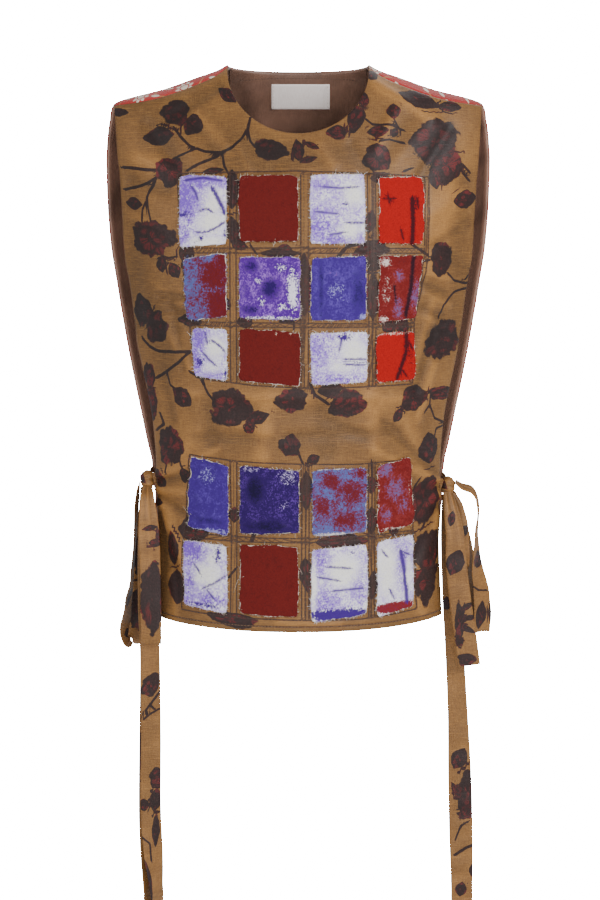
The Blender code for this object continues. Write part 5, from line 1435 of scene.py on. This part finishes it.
TIE_PRINTS = {  # name: flowers and leaves, and stems, as on the front, down the tie from its knot
    "left_loop_front": ((("leaf", 1, -46, 8, 3, 10, 0.6), ("leaf", 6, -61, 7, 4, 0, 0.8),
        ("leaf", 9, -55, 8, 2.6, 90, 0.7), ("leaf", 10, -17, 4, 4, 0, 0.1), ("rose", 1, -115, 38, 12, 90, 0.5)),
        ()),
    # The two long dark roses on this loop's back run stand for print and for the painted shade inside the loop.
    "left_loop_outer": ((("leaf", -1, -82, 12, 5, 70, 0.1), ("leaf", -1, -119, 12, 5, 60, 0.1),
        ("leaf", 3, -158, 7, 5, 0, 0.2), ("rose", 0, -206, 28, 14, 90, 0.1), ("rose", 1, -262, 32, 14, 90, 0.1)),
        ((1.6, (0, -98), (12, -107)),)),
    "left_tail_front": ((("rose", 0, -198, 14, 9, 60, 0.5), ("rose", 7, -293, 11, 9, 80, 0.7),
        ("leaf", -7, -321, 6, 6, 0, 0.15), ("leaf", 5, -316, 13, 6, 80, 0.1), ("leaf", 4, -348, 18, 4, 85, 0.1),
        ("leaf", -10, -398, 22, 4, 90, 0.1)),
        ((2.4, (10, -204), (1, -216), (-8, -228)), (2, (9, -222), (-1, -228), (-8, -234)),
        (2, (-12, -352), (-3, -361), (-3, -379)))),
    "left_tail_back": ((("leaf", -9, -267, 20, 5, 90, 0.1), ("rose", 2, -216, 14, 8, 60, 0.4),
        ("leaf", 1, -348, 14, 6, 70, 0.2)),
        ((2, (-9, -298), (1, -307)),)),
    "right_tail_short": ((("leaf", -1, -72, 14, 9, 65, 0.25), ("rose", -4, -133, 22, 5, 80, 0.55),
        ("leaf", 6, -118, 8, 3, 20, 0.1), ("leaf", 7, -130, 8, 3, 0, 0.1), ("leaf", 3, -141, 9, 3, -35, 0.1),
        ("leaf", -7, -152, 6, 4, -70, 0.1), ("rose", -2, -172, 10, 7, 0, 0.2), ("leaf", -1, -28, 8, 4, 70, 0.2)),
        ()),
    "right_tail_long": ((("leaf", 0, -271, 12, 8, 60, 0.45), ("rose", 7, -305, 24, 10, 80, 0.25),
        ("leaf", -3, -305, 12, 4, -60, 0.95), ("rose", 5, -327, 9, 7, 0, 0.95),
        ("leaf", 13, -387, 10, 5, 90, 0.1), ("leaf", -1, -406, 8, 6, 80, 0.15), ("leaf", -5, -112, 7, 6, 90, 0.1)),
        ((1.8, (-6, -355), (0, -340), (7, -336)), (3.2, (-6, -370), (5, -363), (17, -359)))),
    "right_loop_outer": ((("leaf", 2, -92, 11, 9, 0, 0.35), ("leaf", -2, -149, 15, 7, 80, 0.15),
        ("leaf", 11, -149, 12, 4, 90, 0.1)),
        ((2, (-11, -117), (-3, -123), (7, -125)),)),
}
STUB_WIDTH_AT_PANEL = 15.0
STUB_WIDTH_MIDWAY = 12.0
STUB_WIDTH_AT_KNOT = 10.0
STUB_SEAM_GAP = 0.85
STUB_STRAIGHT = 1.5
KNOT_WRAPS = (  # turn round and height of a wrap's middle, lean, half width, rise in hundredths of the radius
    (0.4, 0.3, 0.5, 0.42, 9), (2.2, -0.2, -0.7, 0.36, 10), (3.9, 0.25, 0.6, 0.4, 8), (5.3, -0.35, -0.4, 0.34, 9),
)


def stub_route(hand, edge, side, folds, wall, knot):
    """A stub's rows from the seam in a panel's side edge to its seat on the knot."""
    levels = np.array([-knot[2] - 2 + STUB_WIDTH_AT_PANEL / 2, -knot[2] - 2 - STUB_WIDTH_AT_PANEL / 2])
    rim = panel_point(hand * edge(levels), levels, side, folds, -wall / 2)
    away = unit(rim - panel_point(hand * (edge(levels) - 2), levels, side, folds, -wall / 2))
    ends = rim + away * STUB_SEAM_GAP
    root = ends.mean(axis=0)
    along_seam = unit(ends[1] - ends[0])
    seat = seat_on_knot((root + knot) / 2, root, along_seam, STUB_WIDTH_AT_KNOT, knot)
    start = root + away.mean(axis=0) * STUB_STRAIGHT
    middles = smooth_route([root, start, start * 0.5 + seat * 0.5, seat], TIE_STEPS)
    widths = np.interp(np.linspace(0, 1, len(middles)), [0, 0.3, 1],
                       [STUB_WIDTH_AT_PANEL, STUB_WIDTH_MIDWAY, STUB_WIDTH_AT_KNOT])
    return middles, np.tile(along_seam, (len(middles), 1)), widths


def add_tie_piece(name, middles, directions, widths, curl, wrinkle):
    """One flat run of a tie, printed."""
    gathered_ends = 2 if "loop" in name else 1
    outer, inner, across, level, tone = ribbon(middles, directions, widths, curl, wrinkle, gathered_ends)
    points, faces, outer_faces, sources = shell(outer, inner, bulge=0.3)
    tie = add_mesh(name + "_silk", points, faces, [tie_silk], name)
    flowers, stems = TIE_PRINTS.get(name, ((("leaf", 2, -40, 9, 5, 50, 0.2),), ()))
    add_print(tie, across.ravel()[sources], level.ravel()[sources], flowers, stems, seed=0.37)
    keep_on_points(tie, sources, fold_tone=tone)
    width = max(float(widths.mean()) * MM, 0.01)
    area = sum(face.area for face in tie.data.polygons) / 2
    length = max(float(-level.min()) * MM, area / width, 0.01)


def add_knot(name, middle, lean):
    """A bow's knot: the tie wrapped tight round itself, in overlapping folds drawn in where they cross, painted
    lighter on the wraps and darker between them.
    """
    turn = np.linspace(0.0, 2 * math.pi, KNOT_COLUMNS, endpoint=False)[:, None]
    height = np.sin(np.linspace(-math.pi / 2, math.pi / 2, KNOT_ROWS))[None, :]
    radius = np.sqrt(np.maximum(1 - height ** 2, 0.0))
    swell = 1 + 0 * turn * height
    for wrap_turn, wrap_height, wrap_lean, half, rise in KNOT_WRAPS:
        off = (turn - wrap_turn + math.pi) % (2 * math.pi) - math.pi
        across = height - wrap_height - wrap_lean * lean * off * 0.6
        band = np.clip(1.25 - np.abs(across) / half, 0.0, 1.0)
        swell = swell + rise / 100 * (band * band * (3 - 2 * band)) * np.exp(-(off / 1.5) ** 2)
    swell = swell + 0.018 * np.sin(height * 19 + turn * 2.0 * lean) - 0.1 * np.exp(-(height / 0.16) ** 2)
    radii = np.array(KNOT_RADII) * 0.97
    points = np.stack([radius * np.cos(turn), radius * np.sin(turn), height + 0 * turn], axis=-1)
    points = middle + points * radii * swell[..., None]
    number = np.arange(KNOT_COLUMNS * KNOT_ROWS).reshape(KNOT_COLUMNS, KNOT_ROWS)
    knot = add_mesh(name + "_wrap", points.reshape(-1, 3), tube_faces(number.T), [tie_silk], name)
    add_print(knot, (turn * 8 - 24 + 0 * height).ravel(), (height * 10 + 0 * turn).ravel(),
              (("leaf", 6, 3, 9, 4, -40, 0.8), ("rose", -12, -2, 8, 6, 0, 0.4)), (), seed=0.2)
    # Painted highlight on the wraps and painted shade where they are drawn in.
    keep_on_points(knot, fold_tone=7.0 * (swell - 1.02))


tie_silk = printed_silk("tie_silk", (0.3, 0.135, 0.035), (0.19, 0.082, 0.022), shade_size=30.0, grooves=False)
for side_name, hand, knot, ties in (("left", -1, LEFT_KNOT, LEFT_TIES), ("right", 1, RIGHT_KNOT, RIGHT_TIES)):
    knot = np.array(knot, float)
    add_knot(side_name + "_knot", knot, hand)
    for stub, edge, side, folds, wall in (("_stub_front", front_edge, FRONT, all_front_folds, FRONT_WALL),
                                          ("_stub_back", back_edge, BACK, all_back_folds, BACK_WALL)):
        middles, directions, widths = stub_route(hand, edge, side, folds, wall, knot)
        add_tie_piece(side_name + stub, middles, directions, widths, curl=0.8, wrinkle=0.2)
    for tie_name, rows in ties.items():
        rows = np.array(rows, float)
        for end, following in ((0, 1), (-1, -2)) if "loop" in tie_name else ((0, 1),):
            direction = width_directions(rows[end][3], rows[end][4])
            rows[end][:3] = seat_on_knot(rows[end][:3], rows[following][:3], direction, rows[end][5], knot)
        route = smooth_route(rows, TIE_STEPS)
        add_tie_piece(tie_name, route[:, :3], width_directions(route[:, 3], route[:, 4]), route[:, 5],
                      curl=0.7, wrinkle=0.45)
